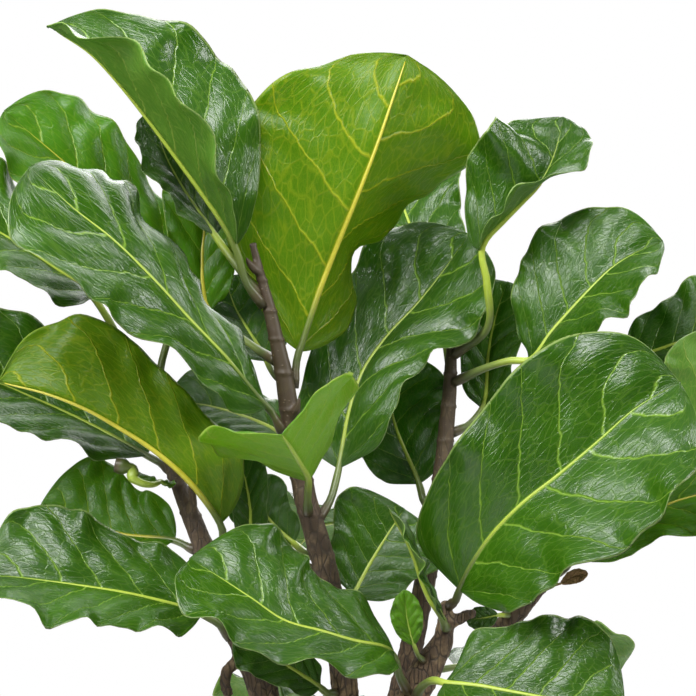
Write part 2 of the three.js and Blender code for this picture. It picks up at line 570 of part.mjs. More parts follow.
    width: 132, face: [[-0.12, 0.03, 1], [-0.5, -0.12, 0.85]], fold: [11, 14] },

  // -- back stem
  { name: "back_leaf_top_folded", stem: "back", height: 596, stalk: [[134, 40, 632], [126, 30, 664]],
    midrib: [[121, 28, 692], [146, 26, 722], [174, 28, 750], [188, 40, 776], [199, 60, 814]],
    width: 146, face: [[-0.3, -0.85, 0.45], [-0.3, -0.85, 0.45], [-0.25, -0.9, 0.3], [-0.1, -0.95, 0.2]],
    fold: [[10, 76], [14, 76], [24, 74], [62, 40], [14, 10], [2, 10]], outline: "oval", sides: [1, 0.62] },
  { name: "back_leaf_ridged_fan", stem: "back", height: 570, stalk: [[140, 40, 590]],
    midrib: [[166, 24, 590], [180, 16, 610], [213, 10, 648], [238, 8, 673], [260, 8, 687], [284, 8, 697]],
    width: 150, face: [[-0.5, -0.7, 0.5], [-0.5, -0.7, 0.5]], fold: [20, 20], outline: "oval" },
  { name: "back_leaf_narrow_dark", stem: "back", height: 520, stalk: [],
    midrib: [[126, 92, 546], [132, 98, 600], [140, 100, 636], [150, 102, 664]],
    width: 70, face: [[-0.2, -0.95, 0.1], [-0.2, -0.95, 0.1]], fold: [10, 10] },
  { name: "back_leaf_textured", stem: "back", height: 450, stalk: [],
    midrib: [[66, 96, 476], [46, 112, 524], [38, 124, 560], [40, 130, 598]],
    width: 116, face: [[0.1, -0.95, 0.2], [0.1, -0.95, 0.2]], fold: [8, 8] },
  { name: "back_leaf_behind_crown", stem: "back", height: 560, stalk: [[96, 138, 584], [90, 156, 626]],
    midrib: [[80, 168, 664], [60, 200, 722], [44, 238, 766], [30, 274, 788]],
    width: 140, face: [[-0.2, -0.6, 0.75], [-0.1, -0.4, 0.9]], fold: [12, 12] },
  { name: "back_leaf_behind_fan", stem: "back", height: 604, stalk: [[102, 134, 622]],
    midrib: [[124, 152, 630], [170, 180, 642], [212, 216, 652], [240, 254, 652]],
    width: 120, face: [[-0.4, -0.4, 0.85], [-0.3, -0.3, 0.9]], fold: [12, 12] },
  { name: "back_leaf_behind_hero", stem: "back", height: 500, stalk: [[102, 108, 500]],
    midrib: [[116, 132, 502], [142, 190, 508], [166, 246, 500], [180, 290, 476]],
    width: 136, face: [[-0.3, -0.1, 0.95], [-0.2, 0.3, 0.9]], fold: [12, 12] },
  { name: "back_leaf_centre_reaching", stem: "back", height: 420, stalk: [[66, 102, 420]],
    midrib: [[48, 132, 422], [10, 196, 430], [-28, 254, 424], [-52, 296, 398]],
    width: 136, face: [[0.1, -0.1, 1], [0.2, 0.4, 0.85]], fold: [12, 12] },
  { name: "back_leaf_low_left", stem: "back", height: 250, stalk: [[16, 88, 250]],
    midrib: [[4, 118, 252], [-30, 180, 258], [-66, 238, 246], [-90, 276, 216]],
    width: 134, face: [[0.1, -0.1, 1], [0.2, 0.5, 0.85]], fold: [12, 12] },
  { name: "back_leaf_low_right", stem: "back", height: 300, stalk: [[76, 90, 300]],
    midrib: [[104, 112, 302], [160, 156, 306], [214, 198, 292], [248, 226, 262]],
    width: 134, face: [[-0.1, -0.1, 1], [-0.4, 0.3, 0.85]], fold: [12, 12] },
];

// ---- assembly -----------------------------------------------------------------------------------
addPiece("saucer", saucer(), "clay");
addPiece("pot", pot(), "clay");
addPiece("potting_soil", soil(Object.values(STEMS).map(socket)), "soil");
for (const [name, spec] of Object.entries(STEMS)) {
  addPiece(`stem_${name}`, stem(spec), "bark");
}
for (const spec of LEAVES) {
  addPiece(spec.name, leaf(spec), spec.young ? "young" : "leaf");
}

export default model;
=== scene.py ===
"""Potted fiddle leaf fig: the looks of the plant, its soil, its clay pot and its saucer.

Every leaf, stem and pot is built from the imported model's own node, in metres, +Z up.
"""

import json
import logging
import math
from dataclasses import dataclass, field
from enum import Enum

import bpy
import numpy as np
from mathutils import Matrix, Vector


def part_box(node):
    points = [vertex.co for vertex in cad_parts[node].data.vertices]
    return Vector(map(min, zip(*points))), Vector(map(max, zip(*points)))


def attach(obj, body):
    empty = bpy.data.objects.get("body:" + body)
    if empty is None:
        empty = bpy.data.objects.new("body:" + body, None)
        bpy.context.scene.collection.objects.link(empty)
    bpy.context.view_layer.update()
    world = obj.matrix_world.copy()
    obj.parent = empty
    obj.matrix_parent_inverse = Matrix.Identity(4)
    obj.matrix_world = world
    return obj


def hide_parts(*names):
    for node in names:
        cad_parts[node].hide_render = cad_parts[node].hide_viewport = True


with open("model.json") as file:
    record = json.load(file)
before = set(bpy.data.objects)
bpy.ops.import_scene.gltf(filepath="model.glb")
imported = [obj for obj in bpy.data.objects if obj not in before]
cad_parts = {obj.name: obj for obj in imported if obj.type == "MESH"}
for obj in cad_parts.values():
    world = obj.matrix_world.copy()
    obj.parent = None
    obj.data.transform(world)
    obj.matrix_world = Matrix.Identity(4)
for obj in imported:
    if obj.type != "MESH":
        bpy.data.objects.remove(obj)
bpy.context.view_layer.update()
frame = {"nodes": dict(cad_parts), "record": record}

LOG = logging.getLogger("fiddle_leaf_fig")
MM = 0.001
TAU = 2 * math.pi
ROOT = "root"


# ---- small mesh and node helpers ------------------------------------------------------------------


def unit(rows: np.ndarray) -> np.ndarray:
    """Rows scaled to length one."""
    return rows / np.maximum(np.linalg.norm(rows, axis=-1, keepdims=True), 1e-12)


def smoothstep(low: float, high: float, value: np.ndarray) -> np.ndarray:
    """A soft step from 0 at low to 1 at high."""
    t = np.clip((value - low) / (high - low), 0.0, 1.0)
    return t * t * (3 - 2 * t)


def seed_of(name: str) -> int:
    """A fixed number for a piece's name, the same on every run."""
    total = 0
    for letter in name:
        total = (total * 131 + ord(letter)) % 1000003
    return total


def catmull_rom(knots: np.ndarray, values: np.ndarray, at: np.ndarray) -> np.ndarray:
    """Smooth values through knots at uneven places.

    Args:
        knots: The rising places of the values, shape (n,).
        values: The values there, shape (n, ...).
        at: The places to read, shape (m,).

    Returns:
        The values at those places, shape (m, ...).
    """
    slopes = np.empty_like(values)
    gaps = np.diff(knots)
    rises = np.diff(values, axis=0) / gaps.reshape((-1,) + (1,) * (values.ndim - 1))
    before, after = gaps[:-1], gaps[1:]
    shape = (-1,) + (1,) * (values.ndim - 1)
    slopes[1:-1] = (rises[:-1] * after.reshape(shape) + rises[1:] * before.reshape(shape)) / (
        before + after
    ).reshape(shape)
    slopes[0], slopes[-1] = rises[0], rises[-1]
    span = np.clip(np.searchsorted(knots, at, side="right") - 1, 0, len(gaps) - 1)
    width = gaps[span]
    t = ((at - knots[span]) / width).reshape(shape)
    width = width.reshape(shape)
    low, high = values[span], values[span + 1]
    return (
        (2 * t**3 - 3 * t**2 + 1) * low
        + (t**3 - 2 * t**2 + t) * width * slopes[span]
        + (3 * t**2 - 2 * t**3) * high
        + (t**3 - t**2) * width * slopes[span + 1]
    )


def make_piece(
    name: str,
    vertices: np.ndarray,
    faces: list,
    materials: list,
    slots: list | None = None,
    uvs: np.ndarray | None = None,
    replaces: tuple = (),
) -> bpy.types.Object:
    """Adds one finished mesh piece to the scene and hangs it on the plant's body.

    Args:
        name: The piece's name.
        vertices: Vertex places in metres, shape (n, 3).
        faces: Lists of vertex numbers.
        materials: The piece's materials.
        slots: The material number of each face, or None for the first everywhere.
        uvs: A place on the surface for each vertex, shape (n, 2), or None.
        replaces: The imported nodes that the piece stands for.

    Returns:
        The new object.
    """
    mesh = bpy.data.meshes.new(name)
    mesh.from_pydata([tuple(v) for v in vertices], [], faces)
    for material in materials:
        mesh.materials.append(material)
    mesh.polygons.foreach_set("use_smooth", [True] * len(mesh.polygons))
    if slots is not None:
        mesh.polygons.foreach_set("material_index", slots)
    if uvs is not None:
        layer = mesh.uv_layers.new(name="surface")
        corners = np.empty(len(mesh.loops), np.int32)
        mesh.loops.foreach_get("vertex_index", corners)
        layer.data.foreach_set("uv", uvs[corners].astype(np.float32).ravel())
    mesh.validate()
    mesh.update()
    piece = bpy.data.objects.new(name, mesh)
    bpy.context.scene.collection.objects.link(piece)
    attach(piece, ROOT)
    if replaces:
        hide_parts(*replaces)
    return piece


class NodeSketch:
    """A short hand for wiring one material's nodes."""

    def __init__(self, name: str) -> None:
        """Starts an empty material with its output node."""
        self.material = bpy.data.materials.new(name)
        self.material.use_nodes = True
        self.tree = self.material.node_tree
        self.tree.nodes.clear()
        self.output = self.tree.nodes.new("ShaderNodeOutputMaterial")

    def add(self, kind: str, inputs: dict | None = None, **settings: object) -> bpy.types.Node:
        """Adds a node.

        Args:
            kind: The node's type without its ShaderNode prefix.
            inputs: Input values or sockets to link, by input name or number.
            settings: Plain attributes of the node.

        Returns:
            The node.
        """
        node = self.tree.nodes.new("ShaderNode" + kind)
        for key, value in settings.items():
            setattr(node, key, value)
        for key, value in (inputs or {}).items():
            self.put(node.inputs[key], value)
        return node

    def put(self, socket: bpy.types.NodeSocket, value: object) -> None:
        """Links a socket to another, or sets its plain value.

        Args:
            socket: The input to fill.
            value: A socket to link to it, or its plain value.
        """
        if isinstance(value, bpy.types.NodeSocket):
            self.tree.links.new(value, socket)
        else:
            socket.default_value = value

    def math(self, operation: str, *values: object, clamp: bool = False) -> bpy.types.NodeSocket:
        """The result of a Math node.

        Args:
            operation: The node's operation.
            values: Its numbers or sockets, in order.
            clamp: Whether the result is kept between 0 and 1.

        Returns:
            The result's socket.
        """
        node = self.add("Math", {i: v for i, v in enumerate(values)}, operation=operation)
        node.use_clamp = clamp
        return node.outputs[0]

    def blend(self, share: object, low: object, high: object, mode: str = "MIX") -> bpy.types.NodeSocket:
        """The blend of two colours."""
        node = self.add("Mix", {0: share, 6: low, 7: high}, data_type="RGBA", blend_type=mode)
        return node.outputs[2]

    def ramp(self, value: object, stops: list) -> bpy.types.NodeSocket:
        """A colour ramp.

        Args:
            value: The place along the ramp.
            stops: Pairs of a place and a colour, from low to high.

        Returns:
            The colour's socket.
        """
        node = self.add("ValToRGB", {0: value})
        elements = node.color_ramp.elements
        while len(elements) < len(stops):
            elements.new(0.5)
        for element, (place, colour) in zip(elements, stops):
            element.position = place
            element.color = colour
        return node.outputs[0]

    def noise(
        self, place: object, scale: float, detail: float = 3.0, rough: float = 0.55
    ) -> bpy.types.NodeSocket:
        """The value of a noise texture."""
        node = self.add("TexNoise", {"Vector": place, "Scale": scale, "Detail": detail, "Roughness": rough})
        return node.outputs["Fac"]

    def scaled(self, place: object, factors: tuple) -> bpy.types.NodeSocket:
        """A vector scaled along each axis."""
        return self.add("VectorMath", {0: place, 1: factors}, operation="MULTIPLY").outputs[0]

    def bump(self, height: object, distance: float, strength: float = 1.0) -> bpy.types.NodeSocket:
        """The normal of a bump map over a height in units of distance."""
        node = self.add("Bump", {"Height": height, "Distance": distance, "Strength": strength})
        return node.outputs[0]


def rgb(red: float, green: float, blue: float) -> tuple:
    """A colour with full alpha."""
    return (red, green, blue, 1.0)


# ---- leaf finishes --------------------------------------------------------------------------------

VEIN_COUNT = 5.6  # side veins from the blade's base to its tip
VEIN_CURVE = 1.18  # how far a side vein bends, 1 for straight
VEIN_RISE = 0.31  # how far it runs towards the tip on its way to the rim
VEIN_OFFSET = 0.42  # how far the veins of one half are set off from the other's
VEIN_WIDTH = 0.05  # a side vein's half-width at the midrib, as a share of their spacing
MIDRIB_WIDTH = 0.034  # the midrib's half-width at the base, as a share of the blade's half-width
NET_CELLS_ALONG = 3.2  # cells of the vein net between two side veins
NET_CELLS_ACROSS = 15.0  # cells of the vein net from the midrib to the rim
FINE_NET_SCALE = 3.4  # how much smaller the cells of the finer net are
RIM_FROM = 0.974  # where the pale rim line starts, as a share of the way out
RIM_SHARPNESS = 70.0
LEAF_RELIEF = 0.7 * MM


@dataclass(frozen=True)
class LeafFinish:
    """The colours and gloss of one kind of leaf, or of leaves with backlight painted in as lighter colours; a
    kind has an upper skin, a lower skin and a rib.
    """

    name: str
    upper_dark: tuple
    upper_light: tuple
    upper_vein: tuple
    under_dark: tuple
    under_light: tuple
    under_vein: tuple
    rib: tuple
    rim: tuple
    glow: tuple
    glow_share: float
    roughness: float
    under_roughness: float

    def vein_field(self, sketch: NodeSketch) -> dict:
        """Wires the vein pattern over the blade.

        Args:
            sketch: The material being wired.

        Returns:
            Sockets by name: the masks of the veins, the net between them, the finer net and the rim.
        """
        place = sketch.add("UVMap", uv_map="surface").outputs[0]
        parts = sketch.add("SeparateXYZ", {0: place})
        along, across = parts.outputs[0], parts.outputs[1]
        out = sketch.math("ABSOLUTE", across)
        bent = sketch.math("MULTIPLY", sketch.math("POWER", out, VEIN_CURVE), VEIN_RISE)
        side = sketch.math("MULTIPLY", sketch.math("GREATER_THAN", across, 0.0), VEIN_OFFSET)
        count = sketch.math("MULTIPLY", sketch.math("SUBTRACT", along, bent), VEIN_COUNT)
        wobble = sketch.math("MULTIPLY", sketch.math("SUBTRACT", sketch.noise(place, 5.0, 2.0), 0.5), 0.3)
        count = sketch.math("ADD", sketch.math("ADD", count, side), wobble)
        from_vein = sketch.math("ABSOLUTE", sketch.math("SUBTRACT", sketch.math("FRACT", count), 0.5))
        from_vein = sketch.math("SUBTRACT", 0.5, from_vein)
        thin = sketch.math("SUBTRACT", VEIN_WIDTH, sketch.math("MULTIPLY", out, VEIN_WIDTH * 0.7))
        vein = sketch.math("SUBTRACT", 1.0, sketch.math("DIVIDE", from_vein, thin), clamp=True)
        cells = sketch.add("CombineXYZ", {
            0: sketch.math("MULTIPLY", count, NET_CELLS_ALONG),
            1: sketch.math("MULTIPLY", across, NET_CELLS_ACROSS),
        })
        net = sketch.add("TexVoronoi", {"Vector": cells.outputs[0], "Scale": 1.0}, feature="DISTANCE_TO_EDGE")
        net_mask = sketch.math("SUBTRACT", 1.0, sketch.math("MULTIPLY", net.outputs[0], 11.0), clamp=True)
        fine = sketch.add(
            "TexVoronoi", {"Vector": cells.outputs[0], "Scale": FINE_NET_SCALE}, feature="DISTANCE_TO_EDGE"
        )
        fine_mask = sketch.math("SUBTRACT", 1.0, sketch.math("MULTIPLY", fine.outputs[0], 7.0), clamp=True)
        rim = sketch.math("MULTIPLY", sketch.math("SUBTRACT", out, RIM_FROM), RIM_SHARPNESS, clamp=True)
        band = sketch.math("MULTIPLY", sketch.math("SUBTRACT", 1.2, along), MIDRIB_WIDTH)
        midrib = sketch.math("SUBTRACT", 1.25, sketch.math("DIVIDE", out, band), clamp=True)
        vein = sketch.math("MAXIMUM", vein, midrib)
        return {"vein": vein, "net": net_mask, "fine": fine_mask, "rim": rim}

    def skin(self, upper: bool) -> bpy.types.Material:
        """The material of the upper or the lower skin.

        Args:
            upper: Whether it is the upper skin.

        Returns:
            The material.
        """
        sketch = NodeSketch(f"{self.name}_{'upper' if upper else 'under'}")
        field_of = self.vein_field(sketch)
        world = sketch.add("TexCoord").outputs["Object"]
        patch = sketch.noise(world, 9.0, 3.0)
        speck = sketch.noise(world, 130.0, 2.0)
        dark, light = (self.upper_dark, self.upper_light) if upper else (self.under_dark, self.under_light)
        vein_colour = self.upper_vein if upper else self.under_vein
        tone = sketch.math("ADD", sketch.math("MULTIPLY", patch, 1.3), sketch.math("MULTIPLY", speck, 0.25))
        tone = sketch.math("SUBTRACT", tone, 0.35, clamp=True)
        colour = sketch.blend(tone, dark, light)
        net_share = sketch.math("MULTIPLY", field_of["net"], 0.13 if upper else 0.22)
        colour = sketch.blend(net_share, colour, vein_colour)
        fine_share = sketch.math("MULTIPLY", field_of["fine"], 0.05 if upper else 0.16)
        colour = sketch.blend(fine_share, colour, vein_colour)
        vein_share = sketch.math("MULTIPLY", field_of["vein"], 0.78 if upper else 0.8)
        colour = sketch.blend(vein_share, colour, vein_colour)
        colour = sketch.blend(sketch.math("MULTIPLY", field_of["rim"], 0.55), colour, self.rim)
        sign = -1.0 if upper else 1.0
        relief = sketch.math("MULTIPLY", field_of["vein"], 0.8 * sign)
        relief = sketch.math("ADD", relief, sketch.math("MULTIPLY", field_of["net"], 0.2 * sign))
        relief = sketch.math("ADD", relief, sketch.math("MULTIPLY", field_of["fine"], 0.07 * sign))
        relief = sketch.math("ADD", relief, sketch.math("MULTIPLY", sketch.noise(world, 60.0, 2.0), 1.0))
        normal = sketch.bump(relief, LEAF_RELIEF)
        shine = self.roughness if upper else self.under_roughness
        rough = sketch.math("ADD", sketch.math("MULTIPLY", patch, 0.18), shine - 0.09)
        shader = sketch.add("BsdfPrincipled", {"Base Color": colour, "Roughness": rough, "Normal": normal,
                                               "Specular IOR Level": 0.42 if upper else 0.3})
        glow = sketch.blend(sketch.math("MULTIPLY", tone, 0.6), self.glow, light)
        glow = sketch.blend(sketch.math("MULTIPLY", field_of["net"], 0.35), glow, self.under_vein)
        glow = sketch.blend(sketch.math("MULTIPLY", field_of["vein"], 0.5), glow, self.under_vein)
        through = sketch.add("BsdfTranslucent", {"Color": glow, "Normal": normal})
        both = sketch.add("MixShader", {0: self.glow_share, 1: shader.outputs[0], 2: through.outputs[0]})
        sketch.put(sketch.output.inputs["Surface"], both.outputs[0])
        return sketch.material

    def rib_skin(self) -> bpy.types.Material:
        """The petiole's and midrib's material: brown at the joint, then green to yellow-green.

        Returns:
            The material.
        """
        sketch = NodeSketch(f"{self.name}_rib")
        place = sketch.add("UVMap", uv_map="surface").outputs[0]
        along = sketch.add("SeparateXYZ", {0: place}).outputs[0]
        world = sketch.add("TexCoord").outputs["Object"]
        grain = sketch.noise(world, 240.0, 4.0)
        joint = sketch.ramp(along, [(0.0, rgb(0.035, 0.022, 0.012)), (0.04, rgb(0.06, 0.04, 0.02)),
                                    (0.08, rgb(0.06, 0.085, 0.02)), (0.2, rgb(0.12, 0.17, 0.025)),
                                    (0.32, self.rib)])
        colour = sketch.blend(sketch.math("MULTIPLY", grain, 0.35), joint, rgb(0.06, 0.08, 0.02))
        normal = sketch.bump(grain, 0.0006, 0.6)
        shader = sketch.add("BsdfPrincipled", {"Base Color": colour, "Roughness": 0.42, "Normal": normal})
        sketch.put(sketch.output.inputs["Surface"], shader.outputs[0])
        return sketch.material

    def dress(self) -> list:
        """The three materials in the order of the leaf's face slots."""
        return [self.skin(True), self.skin(False), self.rib_skin()]


MATURE = LeafFinish(
    name="mature_leaf",
    upper_dark=rgb(0.007, 0.036, 0.001),
    upper_light=rgb(0.038, 0.124, 0.002),
    upper_vein=rgb(0.22, 0.38, 0.04),
    under_dark=rgb(0.045, 0.135, 0.012),
    under_light=rgb(0.10, 0.23, 0.022),
    under_vein=rgb(0.27, 0.37, 0.06),
    rib=rgb(0.34, 0.44, 0.040), rim=rgb(0.38, 0.50, 0.16), glow=rgb(0.13, 0.40, 0.004), glow_share=0.26,
    roughness=0.25, under_roughness=0.42,
)
# Painted backlight: the mature leaf's skin, vein and rib colours made lighter for light shining through it
# from behind.
BACKLIT = LeafFinish(
    name="backlit_leaf",
    upper_dark=rgb(0.02, 0.10, 0.003),
    upper_light=rgb(0.07, 0.22, 0.006),
    upper_vein=rgb(0.30, 0.46, 0.04),
    under_dark=rgb(0.040, 0.125, 0.002),
    under_light=rgb(0.12, 0.25, 0.004),
    under_vein=rgb(0.44, 0.46, 0.020),
    rib=rgb(0.44, 0.40, 0.025), rim=rgb(0.36, 0.46, 0.08), glow=rgb(0.27, 0.46, 0.001), glow_share=0.46,
    roughness=0.28, under_roughness=0.34,
)
YOUNG = LeafFinish(
    name="young_leaf",
    upper_dark=rgb(0.05, 0.18, 0.005),
    upper_light=rgb(0.13, 0.32, 0.012),
    upper_vein=rgb(0.36, 0.48, 0.06),
    under_dark=rgb(0.09, 0.23, 0.008),
    under_light=rgb(0.18, 0.36, 0.014),
    under_vein=rgb(0.42, 0.50, 0.07),
    rib=rgb(0.32, 0.43, 0.05), rim=rgb(0.42, 0.50, 0.12), glow=rgb(0.36, 0.60, 0.006), glow_share=0.42,
    roughness=0.28, under_roughness=0.36,
)
DRIED = LeafFinish(
    name="dried_leaf",
    upper_dark=rgb(0.12, 0.06, 0.02),
    upper_light=rgb(0.26, 0.16, 0.06),
    upper_vein=rgb(0.34, 0.24, 0.12),
    under_dark=rgb(0.18, 0.11, 0.05),
    under_light=rgb(0.28, 0.19, 0.09),
    under_vein=rgb(0.36, 0.27, 0.15),
    rib=rgb(0.24, 0.15, 0.06), rim=rgb(0.30, 0.2, 0.1), glow=rgb(0.3, 0.2, 0.08), glow_share=0.15,
    roughness=0.7, under_roughness=0.75,
)


class LeafKind(Enum):
    """The kinds of leaf, by the record's material slot."""

    MATURE = "leaf_mature"
    PALE = "leaf_pale"
    YOUNG = "leaf_young"
    DRIED = "leaf_dried"


# Pale leaves take the backlit finish, whose lighter colours are painted backlight.
FINISH_OF = {LeafKind.MATURE: MATURE, LeafKind.PALE: BACKLIT, LeafKind.YOUNG: YOUNG, LeafKind.DRIED: DRIED}


# ---- leaves ---------------------------------------------------------------------------------------

SAME_PLACE = 0.02 * MM
RING_SIDES = 8
PETIOLE_RINGS = 3
# How many corners of the next slice the two corners over and under the midrib are joined to.
MIDRIB_LINKS_AHEAD = 3
# Which corners of the slice before it each corner of a slice is joined to.
LINKS_BACK = [frozenset(places) for places in (
    (0,), (0, 1), (1, 2, 3), (3, 4), (4,), (4, 5), (5, 6, 7), (7, 0),
)]


@dataclass
class LeafRings:
    """The slices across a leaf, from its stem to its tip, read off the leaf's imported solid.

    Each slice has eight corners: over the midrib first, then round by the blade's right side.
    """

    node: str
    petiole: np.ndarray = field(init=False)
    blade: np.ndarray = field(init=False)
    tip: np.ndarray = field(init=False)

    def __post_init__(self) -> None:
        """Reads the slices."""
        places, links = self.shared_corners()
        poles = [i for i, others in enumerate(links) if len(others) == RING_SIDES]
        foot = max(poles, key=lambda pole: self.roundness(places[list(links[pole])]))
        rings = self.walk(places, links, foot)
        slices = np.array([places[ring] for ring in rings])
        self.petiole = slices[:PETIOLE_RINGS]
        self.blade = slices[PETIOLE_RINGS:]
        self.tip = places[[pole for pole in poles if pole != foot][0]]

    def shared_corners(self) -> tuple:
        """Merges the solid's corners that lie in one place.

        Returns:
            The distinct corners and, for each, the set of corners that it shares an edge with.
        """
        mesh = frame["nodes"][self.node].data
        raw = np.empty(len(mesh.vertices) * 3)
        mesh.vertices.foreach_get("co", raw)
        raw = raw.reshape(-1, 3)
        near = np.linalg.norm(raw[:, None] - raw[None], axis=2) < SAME_PLACE
        first = near.argmax(axis=1)
        kept, number = np.unique(first, return_inverse=True)
        links: list = [set() for _ in kept]
        for polygon in mesh.polygons:
            corners = [number[v] for v in polygon.vertices]
            for a, b in zip(corners, corners[1:] + corners[:1]):
                if a != b:
                    links[a].add(b)
                    links[b].add(a)
        return raw[kept], links

    @staticmethod
    def roundness(ring: np.ndarray) -> float:
        """How round a ring of corners is, from 0 for flat to 1."""
        spread = np.linalg.svd(ring - ring.mean(0), compute_uv=False)
        return float(spread[1] / spread[0])

    @staticmethod
    def walk(places: np.ndarray, links: list, foot: int) -> list:
        """The rings of corner numbers in order from the foot.

        Args:
            places: The corners.
            links: Each corner's neighbours.
            foot: The corner in the middle of the petiole's end.

        Returns:
            Lists of eight corner numbers, all starting over the midrib.
        """
        ring = set(links[foot])
        order = [min(ring)]
        while len(order) < RING_SIDES:
            follow = [i for i in links[order[-1]] & ring if i not in order]
            order.append(follow[0])
        seen = ring | {foot}
        beyond = set().union(*(links[i] for i in ring)) - seen
        ahead = places[list(beyond)].mean(0) - places[foot]
        turn = np.cross(places[order[1]] - places[foot], places[order[3]] - places[foot])
        if float(turn @ ahead) < 0:
            order.reverse()
        starts = [
            place for place in range(RING_SIDES) if len(links[order[place]] & beyond) == MIDRIB_LINKS_AHEAD
        ]
        start = min(starts, key=lambda place: float(np.linalg.norm(places[order[place]] - places[foot])))
        order = order[start:] + order[:start]
        rings = [order]
        while True:
            seen |= set(order)
            beyond = set().union(*(links[i] for i in order)) - seen
            if len(beyond) != RING_SIDES:
                return rings
            place_of = {corner: place for place, corner in enumerate(order)}
            behind = {
                corner: frozenset(place_of[i] for i in links[corner] if i in place_of) for corner in beyond
            }
            order = [next(corner for corner in beyond if behind[corner] == pattern) for pattern in LINKS_BACK]
            rings.append(order)


@dataclass
class Leaf:
    """One leaf: a thin blade with a wavy rim, swelling between its veins, and its petiole and midrib."""

    node: str
    kind: LeafKind
    rows: int = 62
    half_columns: int = 16
    thickness: float = 0.9 * MM
    swell: float = 4.0 * MM
    pucker: float = 1.6 * MM
    wave: float = 6.5 * MM
    rib_sides: int = 10
    rib_tip: float = 0.45 * MM
    full_length: float = 220 * MM
    chance: np.random.Generator = field(init=False)
    mid: np.ndarray = field(init=False)
    mid_normal: np.ndarray = field(init=False)

    def build(self, materials: list) -> bpy.types.Object:
        """Builds and dresses the leaf.

        Args:
            materials: The upper skin, lower skin and rib materials.

        Returns:
            The leaf object.
        """
        rings = LeafRings(self.node)
        self.chance = np.random.default_rng(seed_of(self.node))
        blade, blade_faces, blade_slots, blade_uv = self.blade(rings)
        rib, rib_faces, rib_uv = self.rib(rings, len(blade))
        vertices = np.vstack([blade, rib])
        slots = np.array(blade_slots + [2] * len(rib_faces), np.int32)
        return make_piece(
            f"{self.node}_fine", vertices, blade_faces + rib_faces, materials, slots,
            np.vstack([blade_uv, rib_uv]), (self.node,),
        )

    def control(self, rings: LeafRings) -> tuple:
        """The blade's control slices with its rounded base and tip added.

        Args:
            rings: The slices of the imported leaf.

        Returns:
            Five points across for each slice, from the left rim to the right, their places along as
            knots and as shares of the midrib, and the midrib's length.
        """
        lines = rings.blade[:, [6, 7, 0, 1, 2]]
        middle = lines[:, 2]
        back = middle[0] - (middle[1] - middle[0]) * 0.2
        base = np.repeat(back[None], 5, axis=0) + (lines[0] - middle[0]) * 0.1
        end = np.repeat(rings.tip[None], 5, axis=0) + (lines[-1] - middle[-1]) * 0.08
        lines = np.concatenate([base[None], lines, end[None]])
        steps = np.linalg.norm(np.diff(lines, axis=0), axis=2).mean(axis=1)
        knots = np.concatenate([[0], np.cumsum(steps)])
        lengths = np.concatenate([[0], np.cumsum(np.linalg.norm(np.diff(lines[:, 2], axis=0), axis=1))])
        return lines, knots / knots[-1], lengths / lengths[-1], lengths[-1]

    def sheet(self, rings: LeafRings) -> tuple:
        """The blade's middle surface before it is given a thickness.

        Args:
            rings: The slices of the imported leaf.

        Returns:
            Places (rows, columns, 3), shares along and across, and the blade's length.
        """
        lines, knots, shares, length = self.control(rings)
        at = np.linspace(0, 1, self.rows)
        fine = catmull_rom(knots, lines, at)
        along = catmull_rom(knots, shares[:, None], at)[:, 0]
        out = np.linspace(0, 1, self.half_columns + 1)
        out = 1 - (1 - out) ** 1.15
        weights = np.stack([(1 - out) * (1 - 2 * out), 4 * out * (1 - out), out * (2 * out - 1)], 1)
        left = np.einsum("cw,rwk->rck", weights, fine[:, [2, 1, 0]])
        right = np.einsum("cw,rwk->rck", weights, fine[:, [2, 3, 4]])
        places = np.concatenate([left[:, :0:-1], right], axis=1)
        across = np.concatenate([-out[:0:-1], out])
        return places, along, across, length

    def normals(self, places: np.ndarray) -> np.ndarray:
        """Unit normals of a grid of places, towards the upper side.

        Args:
            places: The grid, shape (rows, columns, 3).

        Returns:
            The normals, in the same shape.
        """
        down = np.gradient(places, axis=0)
        side = np.gradient(places, axis=1)
        return unit(np.cross(side, down))

    def relief(self, along: np.ndarray, across: np.ndarray, width: np.ndarray) -> np.ndarray:
        """How far the blade stands off its smooth surface: waves at the rim and swelling between veins.

        Args:
            along: The rows' shares of the way from base to tip.
            across: The columns' shares of the way out, below 0 on the left.
            width: The blade's width at each row.

        Returns:
            The rise at each place of the grid.
        """
        u, v = np.meshgrid(along, across, indexing="ij")
        out = np.abs(v)
        side = (v > 0) * VEIN_OFFSET
        count = (u - out**VEIN_CURVE * VEIN_RISE) * VEIN_COUNT + side
        bulge = np.abs(np.sin(np.pi * count)) ** 0.8
        bulge = bulge * smoothstep(0.02, 0.25, out) * (1 - 0.6 * smoothstep(0.75, 1, out))
        swell = self.swell * bulge * smoothstep(0.0, 0.15, u) * (1 - smoothstep(0.9, 1, u))
        wave = np.zeros_like(u)
        for side_sign in (-1, 1):
            near = (v * side_sign > 0) * out**2.6
            for waves, share in ((3.1, 1.0), (5.3, 0.6), (9.0, 0.22)):
                phase = self.chance.uniform(0, TAU)
                speed = waves * self.chance.uniform(0.85, 1.15)
                wave += near * share * np.sin(TAU * speed * u + phase + out * 1.2)
        ends = smoothstep(0.0, 0.12, u) * (1 - 0.7 * smoothstep(0.93, 1, u))
        share = width[:, None] / max(float(width.max()), 1e-6)
        spread = np.stack([u.ravel(), v.ravel() * 0.35, np.zeros(u.size)], axis=1)
        seed = seed_of(self.node)
        lumps = lattice_noise(spread, 4.5, seed) + 0.45 * lattice_noise(spread, 11.0, seed + 1)
        pucker = self.pucker * lumps.reshape(u.shape) * smoothstep(0.0, 0.12, u) * smoothstep(0.03, 0.3, out)
        return swell + pucker + self.wave * wave * ends * share

